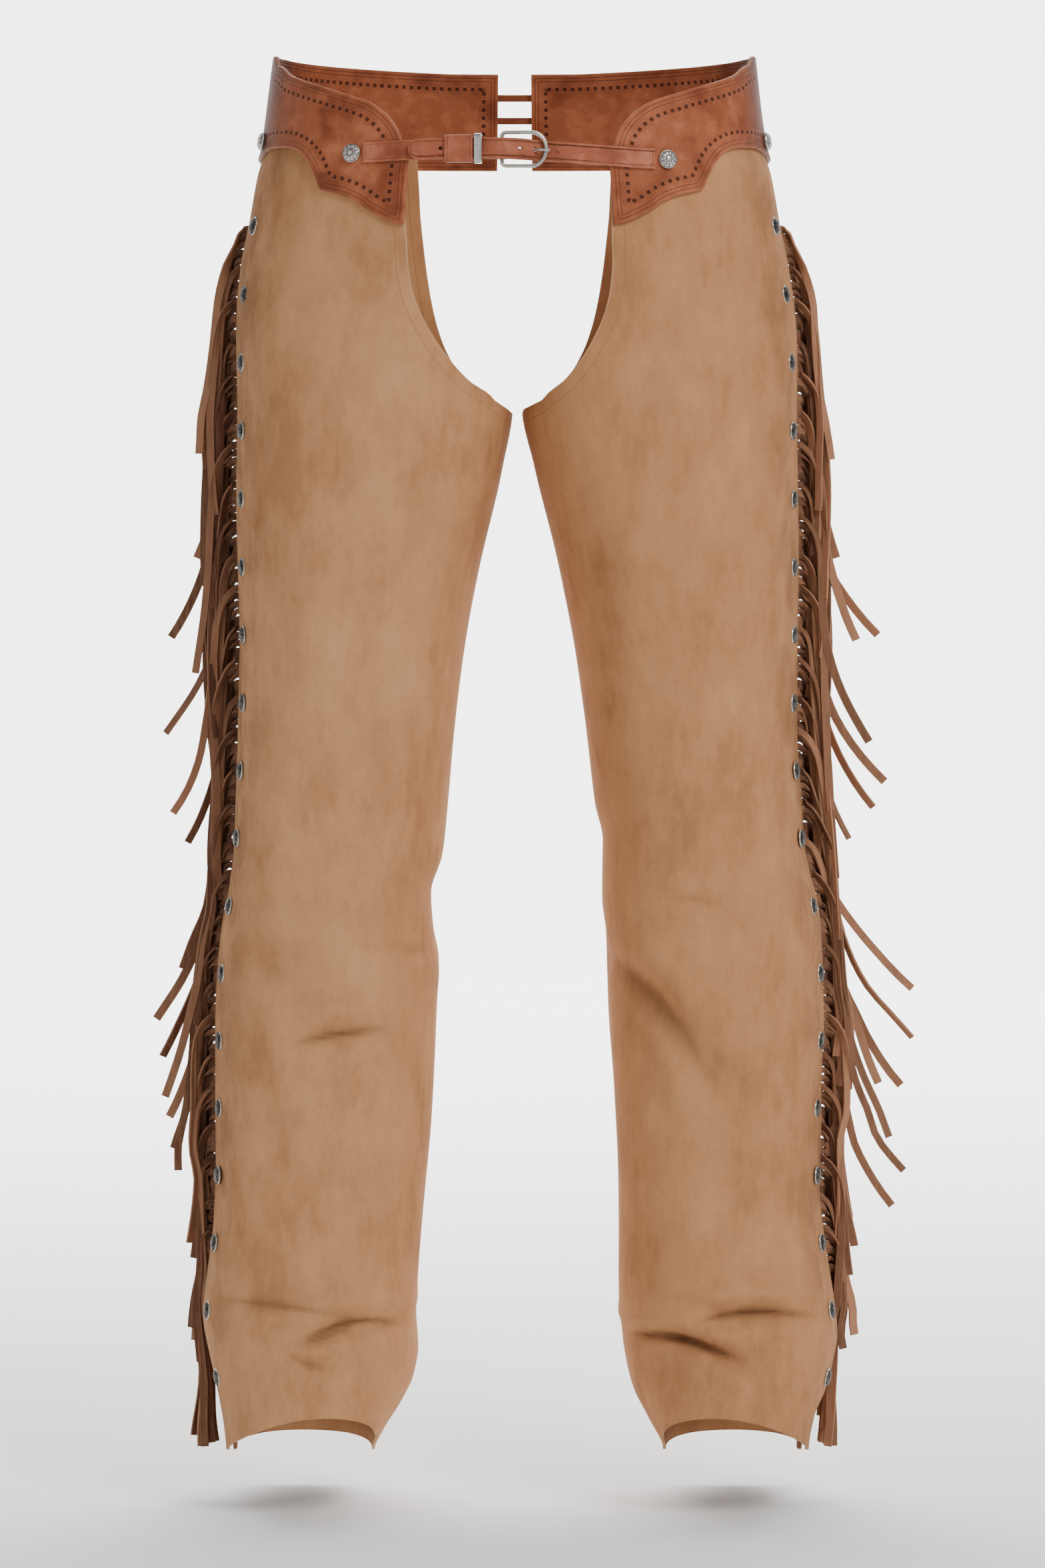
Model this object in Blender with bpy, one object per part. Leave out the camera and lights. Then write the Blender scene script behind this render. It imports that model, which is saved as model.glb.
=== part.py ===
"""Fringed leather chaps in the hollow shape they keep when worn.

Two suede legs hang from two tooled yokes that buckle together at the front and are laced
together at the back. Lengths are written in millimetres and turned into metres when a mesh
is made. +Z is up and the front faces -Y. The origin is the middle of the waist, level with
the front strap. The wearer's right is at -X, and side is -1 there and +1 on the left.

The cloth is described by one surface. A point on it has a height z and a place round, which
runs from 0 at the inner thigh over the front to 0.5 at the outer seam and over the back to 1
at the inner thigh again. Every sewn piece is made from points of that surface, moved out.
"""

import math
import random

import bmesh
import bpy
import numpy as np
from mathutils import Vector

MILLIMETRE = 0.001

# Leather and gaps
SUEDE = 2.0
YOKE_LEATHER = 3.0
CHAPE_LEATHER = 1.8
BILLET_LEATHER = 2.2
LACE_LEATHER = 1.6
GAP = 0.3
SEAM_GAP = 0.5

# Body of the garment
SEAM_Y = 4.0            # depth of the outer seam, just behind the middle of the leg
ROUNDNESS = 2.3         # power of the rounded outline of every section; 2 is an ellipse
HIP_END = -70.0         # above this height the section is that of the whole hip
LEG_START = -178.0      # below this height it is that of one leg
TURN = 4.5              # the front edges sit this far towards the wearer's right
HEM_LOW = -909.0
HEM_RISE = 36.0         # the hem rises over the foot
HEM_LEAN = 0.777        # below 1 the top of that rise is nearer to the inner side
HEM_ARCH = 0.55         # below 1 the arch is full, with steep sides

# Places round of the columns that the yoke and the leg panel share behind the seam
BACK_ROUNDS = (0.5, 0.518, 0.54, 0.57, 0.63, 0.71, 0.80)

# Outer seam: the front edge laps over the fringe strip, which laps over the back edge
FRONT_ROUNDS = (0.5, 0.482, 0.462)      # columns of the leg panel next to its front edge
UNDER_ROUNDS = (-0.518, -0.538)         # columns of its back edge, under the front edge
BACK_DROP = 2 * (SUEDE + SEAM_GAP)

# Yoke
YOKE_OUT = GAP
YOKE_OVERLAP = 12.0     # the leg's top edge lies this far above the yoke's lower edge
BACK_EDGE_X = 12.0      # half the laced gap at the centre back

# Fringe
STRANDS = 66
STRIP_TOP = -20.0       # the strip that holds the strands starts under the yoke
ROOT_TOP = -52.0
ROOT_BOTTOM = -784.0
STRAND_WIDTH = 6.0
STRAND_THICKNESS = 2.0
STRAND_LENGTH = 158.0
TIP_FLOOR = -908.0
LANES = 9
LANE_STEP = 4           # lanes between one strand and the next
LANE_PITCH = 2.9
ARCH = 15.5             # how far a strand stands out before it hangs
ARCH_DROP = 7.0
DRIFT = 0.072           # outward lean of a hanging strand
FLARE_START = 92.0      # length at the tip that curls away

# Studs and conchos
STUDS = 18
STUD_TOP = -54.0
STUD_PITCH = 47.0
STUD_ROUND = 0.42
STUD_RADIUS = 7.2
STUD_HEIGHT = 3.0
STUD_SIDES = 8
CONCHO_RADIUS = 6.6
CONCHO_HEIGHT = 3.6
CONCHO_SIDES = 14
FRONT_CONCHO_X = {-1: -109.0, 1: 102.8}
FRONT_CONCHO_DROP = 0.3     # below the middle of the strap
HIP_CONCHO_ROUND = 0.45
HIP_CONCHO_Z = 4.0

# Front strap and buckle
CHAPE_WIDTH = 13.6
TONGUE_SLOT = 2.4       # half height of the slot where the chape folds round the heel bar
WIRE = 1.35
TONGUE_WIRE = 0.8
HEEL_X = -8.4
TOE_X = 21.4
BUCKLE_Z = -5.2
BUCKLE_HALF_HEIGHT = 11.1
HEEL_OUT = 7.0
TOE_OUT = 8.0
KEEPER_LOW = 3.3        # the keepers pass under both straps at this distance out


class Table:
    """Rows under named columns, read with a smooth curve that never overshoots its rows."""

    def __init__(self, names, *rows):
        self.names = names.split()
        self.data = np.array(sorted(rows), dtype=float)

    def at(self, name, key):
        keys = self.data[:, 0]
        values = self.data[:, self.names.index(name)]
        key = min(max(key, keys[0]), keys[-1])
        i = min(int(np.searchsorted(keys, key, side="right")) - 1, len(keys) - 2)
        step = keys[i + 1] - keys[i]
        t = (key - keys[i]) / step
        start, end = self.slope(keys, values, i), self.slope(keys, values, i + 1)
        rise = values[i + 1] - values[i]
        bend = t * (1 - t)
        smooth = values[i] + rise * t * t * (3 - 2 * t)
        return float(smooth + step * bend * ((1 - t) * start - t * end))

    @staticmethod
    def slope(keys, values, i):
        if i in (0, len(keys) - 1):
            return 0.0
        before = (values[i] - values[i - 1]) / (keys[i] - keys[i - 1])
        after = (values[i + 1] - values[i]) / (keys[i + 1] - keys[i])
        if before * after <= 0:
            return 0.0
        return 2 * before * after / (before + after)

    def column(self, name):
        return [float(value) for value in self.data[:, self.names.index(name)]]


# Sections: half width and depths of the hip, then the four sides of each leg
HIP = Table(
    "z half_width front back",
    (85, 162, 98, 110),
    (57, 165, 102, 115),
    (0, 172.7, 107, 123),
    (-17, 178, 108, 126),
    (-52, 184.5, 108, 130),
    (-80, 190, 107, 130),
    (-127, 194, 105, 124),
    (-178, 195.5, 102, 112),
)

RIGHT_LEG = Table(
    "z outer inner front back",
    (-178, 193.5, 1.0, 100, 106),
    (-220, 193.4, 8.0, 99, 104),
    (-290, 192.6, 24.5, 95, 100),
    (-350, 191.6, 35.0, 91, 96),
    (-405, 192.5, 42.0, 88, 93),
    (-455, 195.0, 46.5, 86, 90),
    (-490, 196.5, 50.5, 85, 88),
    (-517, 200.5, 58.6, 85, 87),
    (-540, 204.5, 57.0, 84, 88),
    (-565, 206.8, 52.5, 83, 90),
    (-610, 209.0, 54.0, 81, 93),
    (-667, 209.2, 57.8, 80, 95),
    (-742, 211.0, 64.4, 80, 92),
    (-790, 216.0, 68.0, 82, 90),
    (-812, 217.8, 69.0, 84, 90),
    (-836, 214.0, 67.5, 87, 91),
    (-855, 210.0, 70.5, 90, 92),
    (-875, 206.0, 80.0, 93, 93),
    (-892, 203.4, 90.7, 95, 94),
    (-909, 202.0, 98.0, 96, 95),
)

LEFT_LEG = Table(
    "z outer inner front back",
    (-178, 197.0, 5.0, 100, 106),
    (-220, 197.6, 14.0, 99, 104),
    (-290, 197.8, 31.5, 95, 100),
    (-350, 197.0, 42.5, 91, 96),
    (-405, 196.8, 50.2, 88, 93),
    (-455, 200.5, 55.5, 86, 90),
    (-480, 202.0, 61.0, 85, 88),
    (-500, 205.5, 61.0, 85, 87),
    (-522, 211.3, 61.5, 84, 88),
    (-545, 214.6, 64.5, 83, 90),
    (-600, 217.0, 65.8, 81, 93),
    (-662, 213.8, 70.0, 80, 95),
    (-720, 213.4, 72.3, 80, 92),
    (-756, 217.0, 72.8, 81, 91),
    (-803, 224.2, 73.6, 82, 90),
    (-826, 226.4, 75.6, 84, 90),
    (-845, 223.3, 78.3, 88, 91),
    (-864, 218.4, 83.0, 91, 92),
    (-883, 210.3, 92.5, 94, 93),
    (-909, 206.0, 104.3, 96, 95),
)

# Cut edges: the front of the crotch, the seat, and the two edges of the yoke
CROTCH_Z = -183.0
SEAT_TOP_X = 70.0
FRONT_TURN = 0.225      # share of a turn from the inner thigh to the front edge
CROTCH_EDGE = Table(
    "z right_x left_x",
    (-44, 75.5, 66.5),
    (-62, 73.4, 66.4),
    (-80, 72.6, 66.9),
    (-97, 70.2, 65.5),
    (-113, 64.5, 62.0),
    (-130, 55.5, 55.0),
    (-147, 43.5, 45.0),
    (-161, 30.5, 33.5),
    (-173, 15.0, 20.5),
)

SEAT_EDGE = Table(
    "z x",
    (-30, 68),
    (-66, 65),
    (-100, 60),
    (-130, 52),
    (-155, 39),
    (-174, 20),
)

YOKE_FRONT_TOP = Table(
    "x z",
    (71.2, -3),
    (72.6, 3),
    (75, 9),
    (79, 15),
    (84, 20.5),
    (96, 28.5),
    (113, 34.5),
    (131, 40.5),
    (150, 48),
    (160, 56),
)

YOKE_FRONT_BOTTOM = Table(
    "x z",
    (71, -55),
    (78, -54),
    (84, -51.5),
    (90, -48.5),
    (97, -44.5),
    (103, -40),
    (110, -36.5),
    (117, -34.2),
    (124, -32.6),
    (129.5, -31),
    (132, -24.5),
    (135, -18),
    (139, -11),
    (144, -5.5),
    (150, -2.5),
    (157, -1.5),
    (163, -1.5),
    (168, -2.5),
)

YOKE_BACK = Table(
    "round top bottom",
    (0.45, 63, -5),
    (0.50, 64, -9),
    (0.58, 64, -11),
    (0.70, 62, -12),
    (0.82, 60, -10),
    (0.93, 58, -10),
)

# Creases of the cloth, each a bent line from end to end through a middle point. x is measured
# outwards from the middle of the wearer, depth is how far the trough goes in, width is its
# half width and lift raises the cloth above it.
FOLDS = Table(
    "side face x0 z0 x1 z1 x2 z2 depth width lift",
    # knee and lower leg, wearer's right, front
    (-1, 1, 156, -617, 120, -609, 83, -607, 5.5, 9, 3.0),
    (-1, 1, 193, -548, 163, -569, 137, -600, 2.6, 15, 1.0),
    (-1, 1, 92, -541, 68, -553, 53, -548, 4.0, 12, 1.5),
    (-1, 1, 212, -797, 161, -793, 111, -799, 6.0, 9, 2.5),
    (-1, 1, 152, -824, 105, -806, 68, -831, 7.0, 7, 3.5),
    (-1, 1, 161, -829, 143, -839, 120, -840, 4.0, 6, 1.5),
    (-1, 1, 188, -834, 185, -857, 182, -885, 2.4, 10, 0.0),
    (-1, 1, 168, -330, 162, -390, 157, -445, 2.2, 16, 0.5),
    # knee and lower leg, wearer's left, front
    (1, 1, 60, -558, 104, -578, 136, -650, 8.0, 11, 4.0),
    (1, 1, 98, -515, 123, -511, 150, -522, 2.2, 9, 1.0),
    (1, 1, 118, -811, 162, -796, 208, -808, 7.0, 8, 3.0),
    (1, 1, 72, -821, 115, -815, 163, -834, 7.5, 7, 3.5),
    (1, 1, 140, -772, 157, -770, 175, -773, 2.2, 8, 0.5),
    (1, 1, 86, -680, 82, -728, 89, -772, 2.6, 11, 0.0),
    (1, 1, 160, -366, 150, -397, 142, -430, 2.0, 12, 0.5),
    # backs of the knees and ankles
    (-1, -1, 74, -528, 128, -516, 184, -532, 6.0, 10, 3.0),
    (-1, -1, 86, -566, 132, -578, 176, -562, 5.0, 9, 2.5),
    (-1, -1, 96, -240, 128, -262, 168, -248, 4.0, 14, 2.0),
    (-1, -1, 92, -792, 140, -804, 192, -790, 6.0, 9, 3.0),
    (-1, -1, 104, -838, 148, -826, 190, -842, 5.0, 8, 2.5),
    (1, -1, 80, -520, 136, -532, 190, -514, 6.0, 10, 3.0),
    (1, -1, 92, -572, 140, -560, 186, -575, 5.0, 9, 2.5),
    (1, -1, 92, -252, 132, -238, 172, -256, 4.0, 14, 2.0),
    (1, -1, 96, -800, 150, -788, 202, -804, 6.0, 9, 3.0),
    (1, -1, 108, -836, 152, -846, 200, -832, 5.0, 8, 2.5),
)

# How far the tips of the fringe curl out, by the height of the tip
FLARES = Table(
    "z right left",
    (-180, 3, 3),
    (-280, 8, 6),
    (-335, 22, 31),
    (-375, 12, 14),
    (-408, 26, 25),
    (-440, 18, 33),
    (-465, 17, 22),
    (-490, 7, 6),
    (-540, 3, 10),
    (-588, 8, 37),
    (-618, 18, 35),
    (-650, 12, 28),
    (-690, 5, 25),
    (-715, 2, 32),
    (-738, 1, 22),
    (-765, 0, 3),
    (-900, 0, 0),
)
FLARE_SHARES = (1.0, 0.15, 0.7, 0.05, 0.45, 0.9, 0.0, 0.6, 0.25, 0.8, 0.1)

# Run of the front strap: its middle height, and how far the two straps lie out along it
STRAP_Z = Table(
    "x z",
    (-104, -6.8),
    (-70, -5.4),
    (-35, -4.8),
    (0, -5.3),
    (30, -7.0),
    (60, -9.0),
    (95, -11.0),
)

CHAPE_OUT = Table(
    "x out",
    (-101, 4.7),
    (-62, 4.7),
    (-46, 5.0),
    (-32, 6.3),
    (-22, 8.0),
    (-14, 9.3),
    (-8.4, 9.6),
)

BILLET_OUT = Table(
    "x out width",
    (-70.5, 7.1, 5.5),
    (-69.4, 7.1, 10.0),
    (-67, 7.1, 13.2),
    (-62, 7.1, 14.2),
    (-46, 7.6, 14.2),
    (-32, 8.9, 14.2),
    (-22, 10.5, 14.2),
    (-14, 11.8, 14.2),
    (-8.4, 12.1, 14.2),
    (-2, 11.2, 14.2),
    (6, 8.9, 14.2),
    (13, 6.0, 14.0),
    (18, 4.8, 13.9),
    (30, 4.6, 13.6),
    (60, 4.8, 13.4),
    (94, 4.9, 13.2),
)


def ease(start, end, value):
    """0 before start, 1 after end, smooth between them."""
    t = min(max((value - start) / (end - start), 0.0), 1.0)
    return t * t * (3 - 2 * t)


def power(value, exponent):
    return math.copysign(abs(value) ** exponent, value)


# ------------------------------------------------------------------ the surface of the cloth


def leg_table(side):
    return RIGHT_LEG if side < 0 else LEFT_LEG


def rounded(depth, share):
    """Depth of a rounded outline at a share of its half width."""
    return depth * max(1 - abs(share) ** ROUNDNESS, 0.0) ** (1 / ROUNDNESS)


def section(side, around, z):
    """Outward x and y of the cloth at a height and a place round."""
    around = around % 1.0
    name, face = ("front", 1) if around < 0.5 else ("back", -1)
    across = math.sin(math.pi * around) ** (2 / ROUNDNESS)
    hip_x = HIP.at("half_width", z) * across
    hip_y = SEAM_Y - face * rounded(HIP.at(name, z) + face * SEAM_Y, across)
    share = ease(HIP_END, LEG_START, z)
    if share == 0:
        return hip_x, hip_y
    table = leg_table(side)
    inner = table.at("inner", z)
    leg_x = inner + (table.at("outer", z) - inner) * across
    leg_y = SEAM_Y - face * rounded(table.at(name, z) + face * SEAM_Y, 1 - 2 * across)
    return hip_x + (leg_x - hip_x) * share, hip_y + (leg_y - hip_y) * share


def round_at_angle(turn):
    """Place round of a share of a full turn about the leg, from the inner thigh forward."""
    across = (1 - power(math.cos(2 * math.pi * turn), 2 / ROUNDNESS)) / 2
    return math.asin(across ** (ROUNDNESS / 2)) / math.pi


def surface(side, around, z):
    x, y = section(side, around, z)
    return Vector((side * x, y, z))


def outward(side, around, z):
    """Unit vector that points out of the cloth."""
    along = surface(side, around + 0.004, z) - surface(side, around - 0.004, z)
    up = surface(side, around, z + 1.5) - surface(side, around, z - 1.5)
    normal = along.cross(up) if side > 0 else up.cross(along)
    return normal.normalized()


def place(side, around, z, out):
    return surface(side, around, z) + outward(side, around, z) * out


def round_at(side, x, z, face):
    """Place round where the cloth is x outwards, on the front (1) or the back (-1)."""
    low, high = 0.0, 0.5
    for _ in range(40):
        middle = (low + high) / 2
        around = middle if face > 0 else 1 - middle
        if section(side, around, z)[0] < x:
            low = middle
        else:
            high = middle
    return low if face > 0 else 1 - low


def hip_point(x, z, out, face):
    """Point out from the hip's section at a signed x, on the front (1) or the back (-1)."""

    def on_hip(px, pz):
        depth = HIP.at("front", pz) + SEAM_Y if face > 0 else HIP.at("back", pz) - SEAM_Y
        share = 1 - (abs(px) / HIP.at("half_width", pz)) ** ROUNDNESS
        return Vector((px, SEAM_Y - face * depth * share ** (1 / ROUNDNESS), pz))

    across = on_hip(x + 1, z) - on_hip(x - 1, z)
    up = on_hip(x, z + 1) - on_hip(x, z - 1)
    normal = across.cross(up).normalized() * face
    return on_hip(x, z) + normal * out


# ---------------------------------------------------------------------------------- creases


def crease_points(fold):
    """Nine points along a crease that bends through its middle point."""
    start, middle, end = (np.array(fold[i:i + 2]) for i in (2, 4, 6))
    control = 2 * middle - (start + end) / 2
    steps = np.linspace(0, 1, 9)
    return [(1 - t) ** 2 * start + 2 * t * (1 - t) * control + t * t * end for t in steps]


CREASES = [(fold, crease_points(fold)) for fold in FOLDS.data]


def crease_depth(side, around, z):
    """How far the creases move the cloth out, or in where it is negative."""
    around = around % 1.0
    face = 1 if around < 0.5 else -1
    here = np.array((section(side, around, z)[0], z))
    total = 0.0
    for fold, points in CREASES:
        if fold[0] != side or fold[1] != face:
            continue
        depth, width, lift = fold[8:11]
        best = None
        for i in range(len(points) - 1):
            run = points[i + 1] - points[i]
            t = float(np.dot(here - points[i], run) / np.dot(run, run))
            t = min(max(t, 0.0), 1.0)
            off = here - (points[i] + run * t)
            distance = float(np.hypot(*off))
            if best is None or distance < best[0]:
                above = 1 if off[1] > 0 else -1
                best = (distance, above, (i + t) / (len(points) - 1))
        distance, above, along = best
        strength = math.sin(math.pi * min(max(along, 0.0), 1.0)) ** 0.6
        reach = distance / width
        total -= depth * strength * math.exp(-reach * reach)
        if above > 0:
            total += lift * strength * math.exp(-((reach - 1.7) ** 2) * 1.4)
    return total


# ---------------------------------------------------------------------------- making meshes


def start_clean():
    for thing in list(bpy.data.objects):
        bpy.data.objects.remove(thing, do_unlink=True)


def material(name, colour, roughness, metallic=0.0):
    finish = bpy.data.materials.new(name)
    finish.use_nodes = True
    shader = finish.node_tree.nodes["Principled BSDF"]
    shader.inputs["Base Color"].default_value = (*colour, 1.0)
    shader.inputs["Roughness"].default_value = roughness
    shader.inputs["Metallic"].default_value = metallic
    return finish


def make_object(name, mesh_data, finish, sharp_angle=40):
    """Turn a bmesh in millimetres into a named object with its faces pointing out."""
    bmesh.ops.recalc_face_normals(mesh_data, faces=mesh_data.faces)
    bmesh.ops.scale(mesh_data, vec=(MILLIMETRE,) * 3, verts=mesh_data.verts)
    mesh = bpy.data.meshes.new(name)
    mesh_data.to_mesh(mesh)
    mesh_data.free()
    mesh.materials.append(finish)
    mesh.shade_smooth()
    mesh.set_sharp_from_angle(angle=math.radians(sharp_angle))
    thing = bpy.data.objects.new(name, mesh)
    bpy.context.scene.collection.objects.link(thing)
    return thing


def wall(outer, inner, missing=(), open_cells=()):
    """Closed wall between two grids of points, with its edges and its holes walled too.

    A missing cell is a hole through the wall. An open cell has no outer face, so that
    something can grow from it. Returns the bmesh and the outer points.
    """
    mesh_data = bmesh.new()
    faces = [[[mesh_data.verts.new(point) for point in row] for row in grid]
             for grid in (outer, inner)]
    top, under = faces
    rows, columns = len(outer) - 1, len(outer[0]) - 1

    def kept(i, j):
        return 0 <= i < rows and 0 <= j < columns and (i, j) not in missing

    for i in range(rows):
        for j in range(columns):
            if not kept(i, j):
                continue
            corners = ((i, j), (i, j + 1), (i + 1, j + 1), (i + 1, j))
            for half in ((0, 1, 2), (0, 2, 3)):
                if (i, j) not in open_cells:
                    mesh_data.faces.new([top[corners[k][0]][corners[k][1]] for k in half])
                half = reversed(half)
                mesh_data.faces.new([under[corners[k][0]][corners[k][1]] for k in half])
            beside = ((i - 1, j), (i, j + 1), (i + 1, j), (i, j - 1))
            for side in range(4):
                if kept(*beside[side]):
                    continue
                (a, b), (c, d) = corners[side], corners[(side + 1) % 4]
                mesh_data.faces.new((top[c][d], top[a][b], under[a][b], under[c][d]))
    for vertex in [vertex for vertex in mesh_data.verts if not vertex.link_faces]:
        mesh_data.verts.remove(vertex)
    return mesh_data, top


def turned(profile, sides, centre, axis):
    """Solid turned round an axis from (radius, height) pairs; the last pair is its tip."""
    mesh_data = bmesh.new()
    axis = axis.normalized()
    across = axis.orthogonal().normalized()
    other = axis.cross(across)
    rings = []
    for radius, height in profile[:-1]:
        ring = []
        for i in range(sides):
            angle = 2 * math.pi * i / sides
            spoke = across * math.cos(angle) + other * math.sin(angle)
            ring.append(mesh_data.verts.new(centre + axis * height + spoke * radius))
        rings.append(ring)
    tip = mesh_data.verts.new(centre + axis * profile[-1][1])
    mesh_data.faces.new(rings[0])
    for low, high in zip(rings, rings[1:]):
        for i in range(sides):
            j = (i + 1) % sides
            mesh_data.faces.new((low[i], low[j], high[j], high[i]))
    for i in range(sides):
        mesh_data.faces.new((rings[-1][i], rings[-1][(i + 1) % sides], tip))
    return mesh_data


def swept(path, radius, sides, closed):
    """Round wire along a path, a ring when closed and capped at its ends when not."""
    mesh_data = bmesh.new()
    rings = []
    count = len(path)
    for i, point in enumerate(path):
        before = path[i - 1] if closed or i else point
        after = path[(i + 1) % count] if closed or i < count - 1 else point
        direction = (after - before).normalized()
        across = direction.cross(Vector((0.0, 1.0, 0.0)))
        if across.length < 0.2:
            across = direction.cross(Vector((0.0, 0.0, 1.0)))
        across.normalize()
        other = direction.cross(across)
        ring = []
        for k in range(sides):
            angle = 2 * math.pi * (k + 0.5) / sides
            spoke = across * math.cos(angle) + other * math.sin(angle)
            ring.append(mesh_data.verts.new(point + spoke * radius))
        rings.append(ring)
    pairs = list(zip(rings, rings[1:]))
    if closed:
        pairs.append((rings[-1], rings[0]))
    else:
        mesh_data.faces.new(rings[0])
        mesh_data.faces.new(rings[-1])
    for ring, following in pairs:
        for k in range(sides):
            j = (k + 1) % sides
            mesh_data.faces.new((ring[k], ring[j], following[j], following[k]))
    return mesh_data


# ------------------------------------------------------------------------------------ yokes


def turned_x(x, side):
    """A front edge's x on one side, with the garment turned a little on its wearer."""
    return x - side * TURN * (1 - (x / 173.0) ** 2)


def edge_by_round(side, front, back_name):
    """One edge of the yoke as pairs of place round and height, front to back."""
    pairs = []
    for x, z in zip(front.column("x"), front.column("z")):
        pairs.append((round_at(side, turned_x(x, side), z, 1), z))
    pairs += zip(YOKE_BACK.column("round"), YOKE_BACK.column(back_name))
    return pairs


def read_pairs(pairs, around):
    return float(np.interp(around, [pair[0] for pair in pairs], [pair[1] for pair in pairs]))


class Yoke:
    """Outline of one yoke, read by place round."""

    def __init__(self, side):
        self.side = side
        self.top_edge = edge_by_round(side, YOKE_FRONT_TOP, "top")
        self.bottom_edge = edge_by_round(side, YOKE_FRONT_BOTTOM, "bottom")
        corner = [pair[0] for pair in self.top_edge[1:5]]
        scallop = [pair[0] for pair in self.bottom_edge[:18]]
        self.front_edge = scallop[0]
        last = round_at(side, BACK_EDGE_X, 20, -1)
        seat = round_at(side, SEAT_TOP_X, 0.0, -1)
        back = [0.44, 0.462, 0.482, *BACK_ROUNDS, 0.67, 0.755, 0.84, seat, 0.91, 0.95, last]
        found = sorted(scallop + corner + back)
        self.columns = [found[0]]
        for around in found[1:]:
            if around - self.columns[-1] > 0.004 or around in back:
                self.columns.append(around)
        self.front_count = sum(around < 0.43 for around in self.columns)

    def top(self, around):
        return read_pairs(self.top_edge, around)

    def bottom(self, around):
        return read_pairs(self.bottom_edge, around)


YOKES = {side: Yoke(side) for side in (-1, 1)}
YOKE_ROWS = 3            # rows of faces above the stretch that overlaps the leg


def build_yoke(side, name, finish):
    yoke = YOKES[side]
    grids = []
    for out in (YOKE_OUT + YOKE_LEATHER, YOKE_OUT):
        grid = []
        for around in yoke.columns:
            low = yoke.bottom(around) + YOKE_OVERLAP
            rise = (yoke.top(around) - low) / YOKE_ROWS
            heights = [low - YOKE_OVERLAP] + [low + rise * i for i in range(YOKE_ROWS + 1)]
            grid.append([place(side, around, z, out) for z in heights])
        grids.append(grid)
    mesh_data, _ = wall(*grids)
    return make_object(name, mesh_data, finish)


# ------------------------------------------------------------------------------- leg panels

# Heights of the panel's rows between the hip and the ankle, close together where the cloth
# is creased; above and below them the rows are spread evenly to the rim and to the hem.
MIDDLE_ROWS = (-240, -320, -400, -470, -515, -545, -568, -590, -612, -650, -700, -750,
               -782, -797, -808, -819, -830, -843, -858)
RIM_ROWS = 4
HEM_ROWS = 2
RIM_SPREAD = 170.0      # a column reaches its place round this far below the rim


def hem_height(around):
    """Height of the hem, which rises over the foot in front."""
    around = around % 1.0
    if around >= 0.5:
        return HEM_LOW
    across = math.sin(math.pi * around) ** (2 / ROUNDNESS)
    return HEM_LOW + HEM_RISE * max(math.sin(math.pi * across ** HEM_LEAN), 0.0) ** HEM_ARCH


def leg_columns(side):
    """Place round and height at the rim, then place round lower down, for each column.

    The columns run from the front edge of the seam over the front, the inner thigh and the
    back to the edge that lies under the front edge. Behind the inner thigh the place round
    is written as a negative number, so that it falls all the way.
    """
    yoke = YOKES[side]
    columns = []
    hip = yoke.columns[:yoke.front_count:2]
    for around in [*FRONT_ROUNDS, *hip[::-1]]:
        columns.append((around, yoke.bottom(around) + YOKE_OVERLAP, around))

    name = "right_x" if side < 0 else "left_x"
    crotch = CROTCH_EDGE.column("z")[-2::-1]
    for i, z in enumerate(crotch):
        around = round_at(side, CROTCH_EDGE.at(name, z), z, 1)
        lower = round_at_angle(FRONT_TURN * (1 - (i + 1) / (len(crotch) + 1)))
        columns.append((around, z, lower))
    columns.append((0.0, CROTCH_Z, 0.0))

    seat = SEAT_EDGE.column("z")
    for i, z in enumerate(seat):
        around = round_at(side, SEAT_EDGE.at("x", z), z, -1) - 1
        lower = round_at_angle(FRONT_TURN * (i + 1) / (len(seat) + 1))
        columns.append((around, z, -lower))
    corner = round_at(side, SEAT_TOP_X, 0.0, -1) - 1
    back = [around - 1 for around in BACK_ROUNDS[::-1]]
    for around in [corner, *back, *UNDER_ROUNDS]:
        columns.append((around, yoke.bottom(around + 1) + YOKE_OVERLAP, around))
    return columns


def row_heights(rim, hem):
    first, last = MIDDLE_ROWS[0], MIDDLE_ROWS[-1]
    under_yoke = rim - YOKE_OVERLAP
    heights = [rim]
    heights += [under_yoke + (first - under_yoke) * i / RIM_ROWS for i in range(RIM_ROWS)]
    heights += MIDDLE_ROWS[:-1]
    heights += [last + (hem - last) * i / HEM_ROWS for i in range(HEM_ROWS + 1)]
    return heights


def seam_drop(around):
    """The back of the panel steps in where it passes under the fringe and the front edge."""
    return -BACK_DROP * ease(0.43, 0.482, -around)


def build_leg(side, name, finish):
    outer, inner = [], []
    for rim_round, rim, low_round in leg_columns(side):
        outer_column, inner_column = [], []
        for z in row_heights(rim, hem_height(low_round)):
            around = rim_round + (low_round - rim_round) * ease(0, RIM_SPREAD, rim - z)
            out = crease_depth(side, around, z) + seam_drop(around)
            outer_column.append(place(side, around, z, out))
            inner_column.append(place(side, around, z, out - SUEDE))
        outer.append(outer_column)
        inner.append(inner_column)
    mesh_data, _ = wall(outer, inner)
    return make_object(name, mesh_data, finish, sharp_angle=55)


# ----------------------------------------------------------------------------------- fringe

STRIP_ROUNDS = (0.482, 0.5028, 0.5135)
FIRST_LANE_Y = SEAM_Y + 6.5
SETTLED = 16.0          # depth by which a strand has turned from outwards to down
MIDWAY = 0.58           # share of its length at which a strand starts to flare


def seam_rows(side):
    rim = YOKES[side].bottom(0.5) + YOKE_OVERLAP
    return row_heights(rim, HEM_LOW)


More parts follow.
